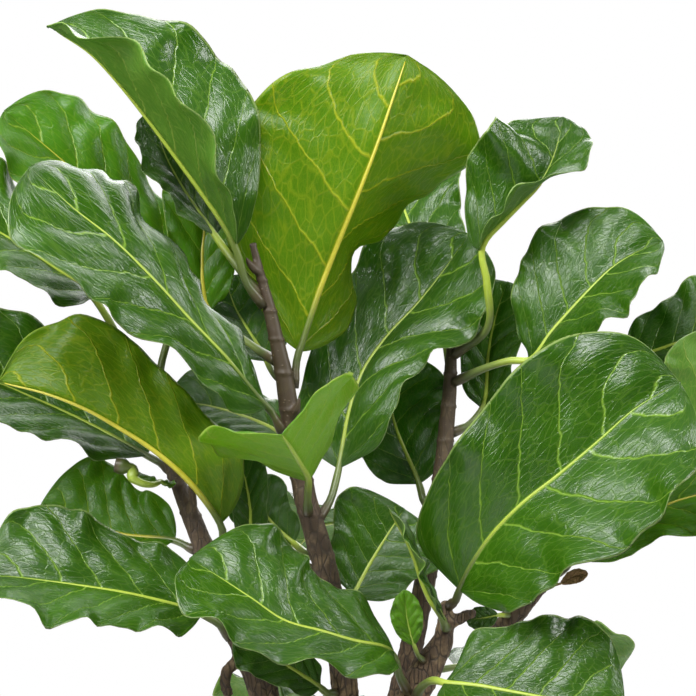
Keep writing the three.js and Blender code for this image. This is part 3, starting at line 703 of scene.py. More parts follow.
    def blade(self, rings: LeafRings) -> tuple:
        """The closed thin shell of the blade.

        Args:
            rings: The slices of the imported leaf.

        Returns:
            Vertices, faces, the faces' material numbers and the vertices' places on the surface.
        """
        places, along, across, length = self.sheet(rings)
        scale = min(1.0, length / self.full_length)
        width = np.linalg.norm(places[:, -1] - places[:, 0], axis=1)
        lift = self.relief(along, across, width) * scale
        normals = self.normals(places)
        places = places + normals * lift[..., None]
        normals = self.normals(places)
        half = self.thickness / 2
        over = places + normals * half
        under = places - normals * half
        under[:, 0] = over[:, 0]
        under[:, -1] = over[:, -1]
        rows, columns = places.shape[:2]
        top = np.arange(rows * columns).reshape(rows, columns)
        low = np.empty_like(top)
        low[:, 0], low[:, -1] = top[:, 0], top[:, -1]
        low[:, 1:-1] = rows * columns + np.arange(rows * (columns - 2)).reshape(rows, columns - 2)
        faces, slots = [], []
        for r in range(rows - 1):
            for c in range(columns - 1):
                faces.append([top[r, c], top[r, c + 1], top[r + 1, c + 1], top[r + 1, c]])
                faces.append([low[r, c], low[r + 1, c], low[r + 1, c + 1], low[r, c + 1]])
                slots += [0, 1]
        for r, flip in ((0, 1), (rows - 1, -1)):
            for c in range(columns - 1):
                loop = [top[r, c], low[r, c], low[r, c + 1], top[r, c + 1]]
                distinct = list(dict.fromkeys(loop))
                faces.append(distinct[::flip])
                slots.append(1)
        u, v = np.meshgrid(along, across, indexing="ij")
        uv = np.stack([u, v], -1)
        vertices = np.vstack([over.reshape(-1, 3), under[:, 1:-1].reshape(-1, 3)])
        uvs = np.vstack([uv.reshape(-1, 2), uv[:, 1:-1].reshape(-1, 2)])
        self.mid = places[:, self.half_columns]
        self.mid_normal = normals[:, self.half_columns]
        return vertices, faces, slots, uvs

    def rib(self, rings: LeafRings, first: int) -> tuple:
        """The closed tube of the petiole, running on as the midrib under the blade.

        Args:
            rings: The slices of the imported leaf.
            first: The number of the tube's first vertex.

        Returns:
            Vertices, faces and the vertices' places on the surface.
        """
        stalk = rings.petiole.mean(axis=1)
        radius = float(np.linalg.norm(rings.petiole[1] - stalk[1], axis=1).max())
        entry = stalk[0] - unit(stalk[1] - stalk[0]) * radius * 1.8
        lead = max(2, self.rows // 16)
        last = int(self.rows * 0.955)
        under = self.mid[lead:last:2]
        depth = np.linspace(0.3, 0.5, len(under))
        fade = np.linspace(1, 0, len(under)) ** 0.8
        radii_under = self.rib_tip + (radius * 0.8 - self.rib_tip) * fade
        under = under - self.mid_normal[lead:last:2] * (radii_under * depth)[:, None]
        line = np.vstack([entry, stalk, under])
        radii = np.concatenate([[radius * 1.25, radius * 1.3, radius * 0.98, radius * 0.95], radii_under])
        reach = np.concatenate([[0], np.cumsum(np.linalg.norm(np.diff(line, axis=0), axis=1))])
        steps = 40
        at = np.linspace(0, reach[-1], steps)
        path = catmull_rom(reach, line, at)
        thick = np.maximum(catmull_rom(reach, radii[:, None], at)[:, 0], self.rib_tip)
        tangent = unit(np.gradient(path, axis=0))
        up = rings.petiole[:, 0] - stalk
        up = np.vstack([up[0], up, self.mid_normal[lead:last:2]])
        up = catmull_rom(reach, unit(up), at)
        up = unit(up - tangent * (up * tangent).sum(1, keepdims=True))
        side = np.cross(tangent, up)
        angles = np.linspace(0, TAU, self.rib_sides, endpoint=False)
        loops = (
            path[:, None]
            + up[:, None] * (thick[:, None] * np.cos(angles))[..., None]
            + side[:, None] * (thick[:, None] * np.sin(angles))[..., None]
        )
        vertices = np.vstack([loops.reshape(-1, 3), path[:1], path[-1:]])
        uv = np.zeros((len(vertices), 2))
        uv[: steps * self.rib_sides, 0] = np.repeat(np.linspace(0, 1, steps), self.rib_sides)
        uv[-1, 0] = 1
        faces = []
        for s in range(steps - 1):
            for a in range(self.rib_sides):
                b = (a + 1) % self.rib_sides
                low, high = first + s * self.rib_sides, first + (s + 1) * self.rib_sides
                faces.append([low + a, low + b, high + b, high + a])
        for a in range(self.rib_sides):
            b = (a + 1) % self.rib_sides
            end = first + (steps - 1) * self.rib_sides
            faces.append([first + len(vertices) - 2, first + b, first + a])
            faces.append([first + len(vertices) - 1, end + a, end + b])
        return vertices, faces, uv


# ---- lumpy surfaces -------------------------------------------------------------------------------


def lattice_noise(places: np.ndarray, scale: float | tuple, seed: int) -> np.ndarray:
    """Smooth noise between -1 and 1 at places in space.

    Args:
        places: Points, shape (n, 3).
        scale: Lumps per metre, one number or one for each axis.
        seed: A whole number that picks the noise.

    Returns:
        One value for each point.
    """
    scaled = places * np.asarray(scale) + 1000.0
    cell = np.floor(scaled).astype(np.int64)
    part = scaled - cell
    part = part * part * (3 - 2 * part)
    total = np.zeros(len(places))
    for dx in (0, 1):
        for dy in (0, 1):
            for dz in (0, 1):
                corner = cell + (dx, dy, dz)
                code = (corner[:, 0] * 73856093) ^ (corner[:, 1] * 19349663) ^ (corner[:, 2] * 83492791)
                code = (code ^ (seed * 2654435761)) & 0x7FFFFFFF
                code = (code * 1103515245 + 12345) & 0x7FFFFFFF
                code = (code ^ (code >> 13)) * 60493 & 0x7FFFFFFF
                value = code / 0x3FFFFFFF - 1.0
                share = (
                    (part[:, 0] if dx else 1 - part[:, 0])
                    * (part[:, 1] if dy else 1 - part[:, 1])
                    * (part[:, 2] if dz else 1 - part[:, 2])
                )
                total += value * share
    return total


def lathe(profile: list, segments: int) -> tuple:
    """Turns a closed outline round the Z axis.

    Args:
        profile: Corners (radius, height) from the axis under the piece round to the axis above it.
        segments: Sides of the turned piece.

    Returns:
        Vertex places, faces, and each vertex's (angle share, outline share).
    """
    count = len(profile)
    angles = np.linspace(0, TAU, segments, endpoint=False)
    places, shares = [], []
    for number, (radius, height) in enumerate(profile[1:-1]):
        ring = np.stack([radius * np.cos(angles), radius * np.sin(angles), np.full(segments, height)], 1)
        places.append(ring)
        shares.append(np.stack([angles / TAU, np.full(segments, (number + 1) / count)], 1))
    places += [np.array([[0, 0, profile[0][1]]]), np.array([[0, 0, profile[-1][1]]])]
    shares += [np.zeros((1, 2)), np.ones((1, 2))]
    vertices, uvs = np.vstack(places), np.vstack(shares)
    low, high = len(vertices) - 2, len(vertices) - 1
    faces = []
    for ring in range(count - 3):
        for a in range(segments):
            b = (a + 1) % segments
            at, on = ring * segments, (ring + 1) * segments
            faces.append([at + a, at + b, on + b, on + a])
    last = (count - 3) * segments
    for a in range(segments):
        b = (a + 1) % segments
        faces.append([low, b, a])
        faces.append([high, last + a, last + b])
    return vertices, faces, uvs


def rounded(profile: list, radius: float, steps: int = 5, pitch: float = 4 * MM) -> list:
    """Rounds an outline's corners and adds points along its long sides.

    Args:
        profile: Corners (radius, height), the first and last on the axis.
        radius: The rounding's reach along each side.
        steps: Points in each rounded corner.
        pitch: The spacing of points along the sides.

    Returns:
        The finer outline.
    """
    corners = [np.array(corner) for corner in profile]
    soft = [corners[0]]
    for before, corner, after in zip(corners, corners[1:], corners[2:]):
        back, ahead = before - corner, after - corner
        reach = min(radius, 0.45 * np.linalg.norm(back), 0.45 * np.linalg.norm(ahead))
        start = corner + unit(back) * reach
        end = corner + unit(ahead) * reach
        for t in np.linspace(0, 1, steps):
            soft.append((1 - t) ** 2 * start + 2 * t * (1 - t) * corner + t**2 * end)
    soft.append(corners[-1])
    fine = [soft[0]]
    for start, end in zip(soft, soft[1:]):
        pieces = max(1, int(np.linalg.norm(end - start) / pitch))
        fine += [start + (end - start) * (k + 1) / pieces for k in range(pieces)]
    return [tuple(point) for point in fine]


# ---- stems ----------------------------------------------------------------------------------------


@dataclass(frozen=True)
class BarkFinish:
    """Smooth purple-brown bark high up, turning grey-brown, flaky and cracked lower down."""

    young: tuple = rgb(0.038, 0.019, 0.010)
    young_green: tuple = rgb(0.050, 0.042, 0.016)
    old: tuple = rgb(0.078, 0.047, 0.025)
    flake: tuple = rgb(0.29, 0.20, 0.105)
    crack: tuple = rgb(0.018, 0.012, 0.009)
    change_low: float = 0.46
    change_high: float = 0.80

    def dress(self) -> bpy.types.Material:
        """The bark's material."""
        sketch = NodeSketch("fig_bark")
        place = sketch.add("TexCoord").outputs["Object"]
        height = sketch.add("SeparateXYZ", {0: place}).outputs[2]
        ragged = sketch.math("MULTIPLY", sketch.math("SUBTRACT", sketch.noise(place, 14.0, 3.0), 0.5), 0.22)
        at = sketch.math("ADD", height, ragged)
        span = self.change_high - self.change_low
        youth = sketch.math("DIVIDE", sketch.math("SUBTRACT", at, self.change_low), span, clamp=True)
        drawn = sketch.scaled(place, (1.0, 1.0, 0.3))
        plates = sketch.add("TexVoronoi", {"Vector": drawn, "Scale": 190.0}, feature="DISTANCE_TO_EDGE")
        crack = sketch.math("SUBTRACT", 1.0, sketch.math("MULTIPLY", plates.outputs[0], 9.0), clamp=True)
        fibre = sketch.noise(sketch.scaled(place, (1.0, 1.0, 0.16)), 420.0, 4.0, 0.65)
        blotch = sketch.noise(place, 70.0, 4.0, 0.6)
        flaky = sketch.math("MULTIPLY", sketch.math("SUBTRACT", blotch, 0.48), 5.0, clamp=True)
        old = sketch.blend(flaky, self.old, self.flake)
        old = sketch.blend(sketch.math("MULTIPLY", fibre, 0.5), old, self.old)
        old = sketch.blend(sketch.math("MULTIPLY", crack, 0.85), old, self.crack)
        lenticel = sketch.add(
            "TexVoronoi", {"Vector": sketch.scaled(place, (1.0, 1.0, 2.2)), "Scale": 150.0}, feature="F1"
        )
        far = sketch.math("MULTIPLY", lenticel.outputs["Distance"], 5.0)
        dots = sketch.math("SUBTRACT", 1.0, far, clamp=True)
        young = sketch.blend(sketch.math("MULTIPLY", blotch, 0.7), self.young, self.young_green)
        young = sketch.blend(sketch.math("MULTIPLY", dots, 0.55), young, self.flake)
        colour = sketch.blend(youth, old, young)
        age = sketch.math("SUBTRACT", 1.0, youth)
        relief = sketch.math("MULTIPLY", sketch.math("SUBTRACT", fibre, crack), age)
        raised = sketch.math("MULTIPLY", dots, sketch.math("MULTIPLY", youth, 0.4))
        relief = sketch.math("ADD", relief, raised)
        rough = sketch.math("ADD", 0.55, sketch.math("MULTIPLY", age, 0.3))
        shader = sketch.add("BsdfPrincipled", {"Base Color": colour, "Roughness": rough,
                                               "Normal": sketch.bump(relief, 0.0012)})
        sketch.put(sketch.output.inputs["Surface"], shader.outputs[0])
        return sketch.material


@dataclass
class Stem:
    """One woody stem with its side twigs, its bark ridged low down and ringed by old leaf scars above."""

    node: str
    voxel: float = 1.7 * MM
    ridge: float = 1.3 * MM
    scar: float = 0.9 * MM
    scar_pitch: float = 31 * MM
    smoothing: int = 6

    def build(self, bark: bpy.types.Material) -> bpy.types.Object:
        """Builds and dresses the stem.

        Args:
            bark: The bark's material.

        Returns:
            The stem object.
        """
        places, faces = self.fine_skin()
        normals = self.vertex_normals(places, faces)
        places = places + normals * self.relief(places)[:, None]
        return make_piece(
            f"{self.node}_fine", places, faces.tolist(), [bark], replaces=(self.node,)
        )

    def fine_skin(self) -> tuple:
        """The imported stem's skin as an even, softened grid of small faces.

        Returns:
            Vertex places and four-sided faces.
        """
        source = frame["nodes"][self.node]
        copy = bpy.data.objects.new("stem_skin", source.data.copy())
        bpy.context.scene.collection.objects.link(copy)
        shrink = copy.modifiers.new("even", "REMESH")
        shrink.mode = "VOXEL"
        shrink.voxel_size = self.voxel
        graph = bpy.context.evaluated_depsgraph_get()
        mesh = copy.evaluated_get(graph).to_mesh()
        places = np.empty(len(mesh.vertices) * 3)
        mesh.vertices.foreach_get("co", places)
        places = places.reshape(-1, 3)
        faces = np.array([list(polygon.vertices) for polygon in mesh.polygons])
        edges = np.array([list(edge.vertices) for edge in mesh.edges])
        copy.evaluated_get(graph).to_mesh_clear()
        data = copy.data
        bpy.data.objects.remove(copy)
        bpy.data.meshes.remove(data)
        count = np.bincount(edges.ravel(), minlength=len(places))[:, None]
        for _ in range(self.smoothing):
            total = np.zeros_like(places)
            np.add.at(total, edges[:, 0], places[edges[:, 1]])
            np.add.at(total, edges[:, 1], places[edges[:, 0]])
            places = places * 0.45 + total / count * 0.55
        return places, faces

    @staticmethod
    def vertex_normals(places: np.ndarray, faces: np.ndarray) -> np.ndarray:
        """Unit normals at the vertices of a skin of four-sided faces.

        Args:
            places: The vertices.
            faces: Four vertex numbers for each face.

        Returns:
            A normal for each vertex.
        """
        across = places[faces[:, 2]] - places[faces[:, 0]]
        along = places[faces[:, 3]] - places[faces[:, 1]]
        face_normals = np.cross(across, along)
        total = np.zeros_like(places)
        for corner in range(4):
            np.add.at(total, faces[:, corner], face_normals)
        return unit(total)

    def relief(self, places: np.ndarray) -> np.ndarray:
        """How far the bark stands off the smooth stem, by height: ridges low down, scars above.

        Args:
            places: The vertices of the stem's skin.

        Returns:
            The rise at each vertex.
        """
        seed = seed_of(self.node)
        age = 1 - smoothstep(0.44, 0.78, places[:, 2] + 0.05 * lattice_noise(places, 12.0, seed))
        ridges = 1 - 2 * np.abs(lattice_noise(places, (210.0, 210.0, 46.0), seed + 1))
        lumps = lattice_noise(places, 95.0, seed + 2)
        grit = lattice_noise(places, (600.0, 600.0, 240.0), seed + 3)
        wander = 6 * MM * lattice_noise(places, 16.0, seed + 4)
        along = (places[:, 2] + wander) / self.scar_pitch + seed % 7
        ring = np.exp(-(((along % 1.0) - 0.5) * self.scar_pitch / (1.5 * MM)) ** 2)
        rough = self.ridge * (0.75 * ridges + 0.5 * lumps + 0.35 * grit) * age
        return rough + self.scar * ring * (0.35 + 0.65 * (1 - age)) + 0.25 * MM * lumps * (1 - age)


# ---- soil -----------------------------------------------------------------------------------------


@dataclass(frozen=True)
class SoilFinish:
    """Damp dark potting mix, crumb by crumb."""

    wet: tuple = rgb(0.012, 0.008, 0.006)
    damp: tuple = rgb(0.040, 0.026, 0.017)
    fibre: tuple = rgb(0.13, 0.080, 0.042)

    def dress(self) -> bpy.types.Material:
        """The potting mix's material."""
        sketch = NodeSketch("potting_mix")
        place = sketch.add("TexCoord").outputs["Object"]
        grains = sketch.add("TexVoronoi", {"Vector": place, "Scale": 420.0}, feature="F1")
        coarse = sketch.noise(place, 60.0, 5.0, 0.7)
        fine = sketch.noise(place, 700.0, 4.0, 0.7)
        tone = sketch.math("ADD", sketch.math("MULTIPLY", coarse, 0.8), sketch.math("MULTIPLY", fine, 0.5))
        colour = sketch.ramp(tone, [(0.35, self.wet), (0.62, self.damp), (0.9, self.fibre)])
        relief = sketch.math("SUBTRACT", fine, grains.outputs["Distance"])
        normal = sketch.bump(relief, 0.0022)
        shader = sketch.add("BsdfPrincipled", {"Base Color": colour, "Roughness": 0.88, "Normal": normal})
        sketch.put(sketch.output.inputs["Surface"], shader.outputs[0])
        return sketch.material


@dataclass(frozen=True)
class ChipFinish:
    """Bark chips, each its own brown, with a few pale mineral grains among them."""

    dark: tuple = rgb(0.035, 0.020, 0.012)
    brown: tuple = rgb(0.14, 0.080, 0.042)
    tan: tuple = rgb(0.27, 0.17, 0.095)
    grit: tuple = rgb(0.62, 0.60, 0.55)

    def dress(self) -> bpy.types.Material:
        """The chips' material; a chip's tone is its place on the surface."""
        sketch = NodeSketch("bark_chips")
        tone = sketch.add("SeparateXYZ", {0: sketch.add("UVMap", uv_map="surface").outputs[0]}).outputs[0]
        place = sketch.add("TexCoord").outputs["Object"]
        grain = sketch.noise(sketch.scaled(place, (1.0, 3.0, 1.0)), 300.0, 4.0, 0.65)
        stops = [(0.0, self.dark), (0.55, self.brown), (0.93, self.tan), (0.96, self.grit)]
        colour = sketch.ramp(tone, stops)
        colour = sketch.blend(sketch.math("MULTIPLY", grain, 0.5), colour, self.dark)
        normal = sketch.bump(grain, 0.0010)
        shader = sketch.add("BsdfPrincipled", {"Base Color": colour, "Roughness": 0.8, "Normal": normal})
        sketch.put(sketch.output.inputs["Surface"], shader.outputs[0])
        return sketch.material


@dataclass
class Soil:
    """The potting soil: a crumbly bed heaped a little at the stems, strewn with chips."""

    node: str = "potting_soil"
    rings: int = 74
    sectors: int = 190
    lump: float = 4.5 * MM
    crumb: float = 1.6 * MM
    edge_drop: float = 5 * MM
    chips: int = 1100
    chip_low: float = 1.6 * MM
    chip_high: float = 5.5 * MM
    depth: float = 45 * MM
    settled: float = 2 * MM
    heap: float = 6 * MM
    heap_reach: float = 22 * MM
    bare_ring: float = 14 * MM
    top: float = field(init=False)
    radius: float = field(init=False)
    stems: list = field(init=False)

    def build(self) -> list:
        """Builds and dresses the bed and its chips."""
        low, high = (Vector(corner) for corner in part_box(self.node))
        self.top = high.z
        self.radius = (high.x - low.x) / 2
        self.stems = self.stem_feet()
        return [self.bed(), self.strewn_chips()]

    def stem_feet(self) -> list:
        """Where the stems leave the soil.

        Returns:
            One (x, y) place for each stem.
        """
        feet = []
        for name, node in frame["nodes"].items():
            if not name.startswith("stem"):
                continue
            places = np.array([vertex.co[:] for vertex in node.data.vertices])
            near = places[np.abs(places[:, 2] - self.top) < 30 * MM]
            feet.append(near[:, :2].mean(0))
        return feet

    def height(self, x: np.ndarray, y: np.ndarray) -> np.ndarray:
        """The soil's level at places across the bed.

        Args:
            x: The places' first coordinates.
            y: Their second.

        Returns:
            The level at each place.
        """
        flat = np.stack([x, y, np.zeros_like(x)], 1)
        out = np.hypot(x, y) / self.radius
        level = self.lump * lattice_noise(flat, 26.0, 5) * (1 - 0.4 * out)
        level += self.crumb * lattice_noise(flat, 130.0, 6) + 0.7 * self.crumb * lattice_noise(flat, 330.0, 7)
        for foot in self.stems:
            level += self.heap * np.exp(-((x - foot[0]) ** 2 + (y - foot[1]) ** 2) / self.heap_reach**2)
        level -= self.edge_drop * smoothstep(0.8, 1.0, out)
        return self.top - self.settled + level

    def bed(self) -> bpy.types.Object:
        """The bed: a finely lumpy top with a plain underside well inside the pot."""
        reach = np.linspace(1, self.rings, self.rings) / self.rings * self.radius
        angles = np.linspace(0, TAU, self.sectors, endpoint=False)
        r, a = np.meshgrid(reach, angles, indexing="ij")
        x, y = (r * np.cos(a)).ravel(), (r * np.sin(a)).ravel()
        top = np.stack([x, y, self.height(x, y)], 1)
        skirt_radius = self.radius * 0.93
        skirt = np.stack([skirt_radius * np.cos(angles), skirt_radius * np.sin(angles),
                          np.full(self.sectors, self.top - self.depth)], 1)
        middle = self.height(np.zeros(1), np.zeros(1))[0]
        vertices = np.vstack([top, skirt, [[0, 0, middle]], [[0, 0, self.top - self.depth]]])
        faces = []
        for ring in range(self.rings):
            for s in range(self.sectors):
                t = (s + 1) % self.sectors
                at, on = ring * self.sectors, (ring + 1) * self.sectors
                faces.append([at + s, on + s, on + t, at + t])
        centre, under = len(vertices) - 2, len(vertices) - 1
        last = self.rings * self.sectors
        for s in range(self.sectors):
            t = (s + 1) % self.sectors
            faces.append([centre, s, t])
            faces.append([under, last + t, last + s])
        return make_piece(
            "soil_bed", vertices, faces, [SoilFinish().dress()], replaces=(self.node,)
        )

    def strewn_chips(self) -> bpy.types.Object:
        """Irregular chips and grains half sunk in the bed, joined as one piece."""
        chance = np.random.default_rng(77)
        golden = (1 + 5**0.5) / 2
        ball = unit(np.array([
            (-1, golden, 0), (1, golden, 0), (-1, -golden, 0), (1, -golden, 0),
            (0, -1, golden), (0, 1, golden), (0, -1, -golden), (0, 1, -golden),
            (golden, 0, -1), (golden, 0, 1), (-golden, 0, -1), (-golden, 0, 1),
        ]))
        ball_faces = [
            (0, 11, 5), (0, 5, 1), (0, 1, 7), (0, 7, 10), (0, 10, 11), (1, 5, 9), (5, 11, 4), (11, 10, 2),
            (10, 7, 6), (7, 1, 8), (3, 9, 4), (3, 4, 2), (3, 2, 6), (3, 6, 8), (3, 8, 9), (4, 9, 5),
            (2, 4, 11), (6, 2, 10), (8, 6, 7), (9, 8, 1),
        ]
        vertices, faces, tones = [], [], []
        for _ in range(self.chips):
            out = self.radius * 0.95 * math.sqrt(chance.uniform(0, 1))
            angle = chance.uniform(0, TAU)
            x, y = out * math.cos(angle), out * math.sin(angle)
            if any(math.hypot(x - foot[0], y - foot[1]) < self.bare_ring for foot in self.stems):
                continue
            size = chance.uniform(self.chip_low, self.chip_high) * chance.uniform(0.6, 1.0)
            sides = ((0.8, 1.7), (0.5, 1.0), (0.25, 0.6))
            stretch = np.array([chance.uniform(least, most) for least, most in sides])
            turn = chance.uniform(0, TAU)
            tilt = chance.uniform(-0.5, 0.5)
            cos, sin = math.cos(turn), math.sin(turn)
            spin = np.array([[cos, -sin, 0], [sin, cos, 0], [0, 0, 1]])
            cos, sin = math.cos(tilt), math.sin(tilt)
            lean = np.array([[1, 0, 0], [0, cos, -sin], [0, sin, cos]])
            corners = ball * chance.uniform(0.75, 1.15, (len(ball), 1)) * stretch * size
            level = self.height(np.array([x]), np.array([y]))[0]
            first = len(vertices)
            vertices += [tuple(c) for c in corners @ (spin @ lean).T + (x, y, level + 0.15 * size)]
            faces += [[first + a, first + b, first + c] for a, b, c in ball_faces]
            tones += [(chance.uniform(0, 1), 0.5)] * len(ball)
        piece = make_piece("soil_chips", np.array(vertices), faces, [ChipFinish().dress()],
                           uvs=np.array(tones))
        piece.data.polygons.foreach_set("use_smooth", [False] * len(piece.data.polygons))
        return piece


# ---- clay pot and saucer --------------------------------------------------------------------------


@dataclass(frozen=True)
class ClayFinish:
    """Unglazed fired clay with turning lines and pale mineral bloom low down."""

    clay: tuple = rgb(0.50, 0.215, 0.105)
    deep: tuple = rgb(0.36, 0.135, 0.065)
    bloom: tuple = rgb(0.66, 0.50, 0.40)
    bloom_from: float = 0.10
    bloom_to: float = 0.02

    def dress(self, name: str) -> bpy.types.Material:
        """The clay's material.

        Args:
            name: The material's name.

        Returns:
            The material.
        """
        sketch = NodeSketch(name)
        place = sketch.add("TexCoord").outputs["Object"]
        height = sketch.add("SeparateXYZ", {0: place}).outputs[2]
        mottle = sketch.noise(place, 16.0, 5.0, 0.6)
        sand = sketch.noise(place, 900.0, 3.0, 0.6)
        lines = sketch.noise(sketch.scaled(place, (0.4, 0.4, 14.0)), 14.0, 4.0, 0.6)
        tone = sketch.math("ADD", sketch.math("MULTIPLY", mottle, 0.9), sketch.math("MULTIPLY", lines, 0.35))
        tone = sketch.math("SUBTRACT", tone, 0.18, clamp=True)
        colour = sketch.blend(tone, self.deep, self.clay)
        fall = sketch.math("SUBTRACT", self.bloom_from, height)
        fall = sketch.math("DIVIDE", fall, self.bloom_from - self.bloom_to, clamp=True)
        spots = sketch.math("SUBTRACT", sketch.noise(place, 28.0, 6.0, 0.7), 0.42)
        patches = sketch.math("MULTIPLY", spots, 4.0, clamp=True)
        share = sketch.math("MULTIPLY", sketch.math("ADD", fall, 0.12), sketch.math("MULTIPLY", patches, 0.6))
        colour = sketch.blend(share, colour, self.bloom)
        colour = sketch.blend(sketch.math("MULTIPLY", sand, 0.16), colour, self.deep)
        relief = sketch.math("ADD", sketch.math("MULTIPLY", sand, 0.35), lines)
        normal = sketch.bump(relief, 0.0007)
        rough = sketch.math("ADD", 0.74, sketch.math("MULTIPLY", mottle, 0.16))
        shader = sketch.add("BsdfPrincipled", {"Base Color": colour, "Roughness": rough, "Normal": normal})
        sketch.put(sketch.output.inputs["Surface"], shader.outputs[0])
        return sketch.material


@dataclass
class ClayPot:
    """The plain tapered pot with its rim band and the holes in its floor."""

    node: str = "pot"
    wall: float = 7 * MM
    floor: float = 9 * MM
    band_height: float = 34 * MM
    band_step: float = 6 * MM
    base_radius: float = 100 * MM
    hole_count: int = 5
    hole_radius: float = 7 * MM
    hole_circle: float = 55 * MM
    hole_sides: int = 28
    unevenness: float = 0.5 * MM
    turning_line: float = 0.22 * MM
    true_radius: float = 50 * MM
    softness: float = 3.2 * MM
    segments: int = 144

    def profile(self) -> list:
        """The pot's outline from under its floor, up the outside and down the inside.

        Returns:
            Corners (radius, height), the first and last on the axis.
        """
        low, high = (Vector(corner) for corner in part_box(self.node))
        foot, rim, top_radius = low.z, high.z, (high.x - low.x) / 2
        tall = rim - foot
        inner = top_radius - self.band_step

        def body(height: float) -> float:
            """The outer radius under the band at a height above the foot."""
            return self.base_radius + (inner - self.base_radius) * height / tall

        band = tall - self.band_height
        return [
            (0, foot), (self.base_radius, foot), (body(band), foot + band), (top_radius, foot + band),
            (top_radius, rim), (body(tall) - self.wall, rim),
            (body(self.floor) - self.wall, foot + self.floor), (0, foot + self.floor),
        ]

    def build(self, clay: bpy.types.Material) -> bpy.types.Object:
        """Builds and dresses the pot.

        Args:
            clay: The clay's material.

        Returns:
            The pot object.
        """
        vertices, faces, uvs = lathe(rounded(self.profile(), self.softness), self.segments)
        wobble = self.unevenness * lattice_noise(vertices, 11.0, 21)
        wobble += self.turning_line * lattice_noise(vertices, (4.0, 4.0, 120.0), 22)
        out = np.hypot(vertices[:, 0], vertices[:, 1])
        walled = self.true_radius
        scale = 1 + np.where(out > walled, (wobble - self.unevenness) / np.maximum(out, walled), 0)
        vertices[:, :2] *= scale[:, None]
        piece = make_piece("clay_pot", vertices, faces, [clay], uvs=uvs, replaces=(self.node,))
        return self.drill(piece, vertices[:, 2].min())

    def drill(self, piece: bpy.types.Object, foot: float) -> bpy.types.Object:
        """Cuts the drain holes through the floor.

        Args:
            piece: The turned pot.
            foot: The height of its underside.

        Returns:
            The pot with its holes.
        """
        for hole in range(self.hole_count):
            angle = hole / self.hole_count * TAU
            tall = 2 * self.floor
            outline = [(0, 0), (self.hole_radius, 0), (self.hole_radius, tall), (0, tall)]
            places, faces, _ = lathe(outline, self.hole_sides)
            x, y = self.hole_circle * math.cos(angle), self.hole_circle * math.sin(angle)
            places += (x, y, foot - self.floor / 2)
            mesh = bpy.data.meshes.new("drain_hole")
            mesh.from_pydata([tuple(place) for place in places], [], faces)
            drill = bpy.data.objects.new("drain_hole", mesh)
            bpy.context.scene.collection.objects.link(drill)
            cut = piece.modifiers.new("drain_hole", "BOOLEAN")
            cut.operation = "DIFFERENCE"
            cut.solver = "EXACT"
            cut.object = drill
            graph = bpy.context.evaluated_depsgraph_get()
            carved = bpy.data.meshes.new_from_object(piece.evaluated_get(graph))
            piece.modifiers.clear()
            piece.data = carved
            bpy.data.objects.remove(drill)
        return piece


@dataclass
class ClaySaucer:
    """The plain saucer under the pot."""

    node: str = "saucer"
    wall: float = 6 * MM
    flare: float = 14 * MM
    softness: float = 2.6 * MM
    segments: int = 144

    def build(self, clay: bpy.types.Material) -> bpy.types.Object:
        """Builds and dresses the saucer.

        Args:
            clay: The clay's material.

        Returns:
            The saucer object.
        """
        low, high = (Vector(corner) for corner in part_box(self.node))
        radius = (high.x - low.x) / 2
        foot = radius - self.flare
        profile = [
            (0, low.z), (foot, low.z), (radius, high.z), (radius - self.wall, high.z),
            (foot - self.wall, low.z + self.wall), (0, low.z + self.wall),
        ]
        vertices, faces, uvs = lathe(rounded(profile, self.softness), self.segments)
        return make_piece("clay_saucer", vertices, faces, [clay], uvs=uvs, replaces=(self.node,))


# ---- studio ---------------------------------------------------------------------------------------


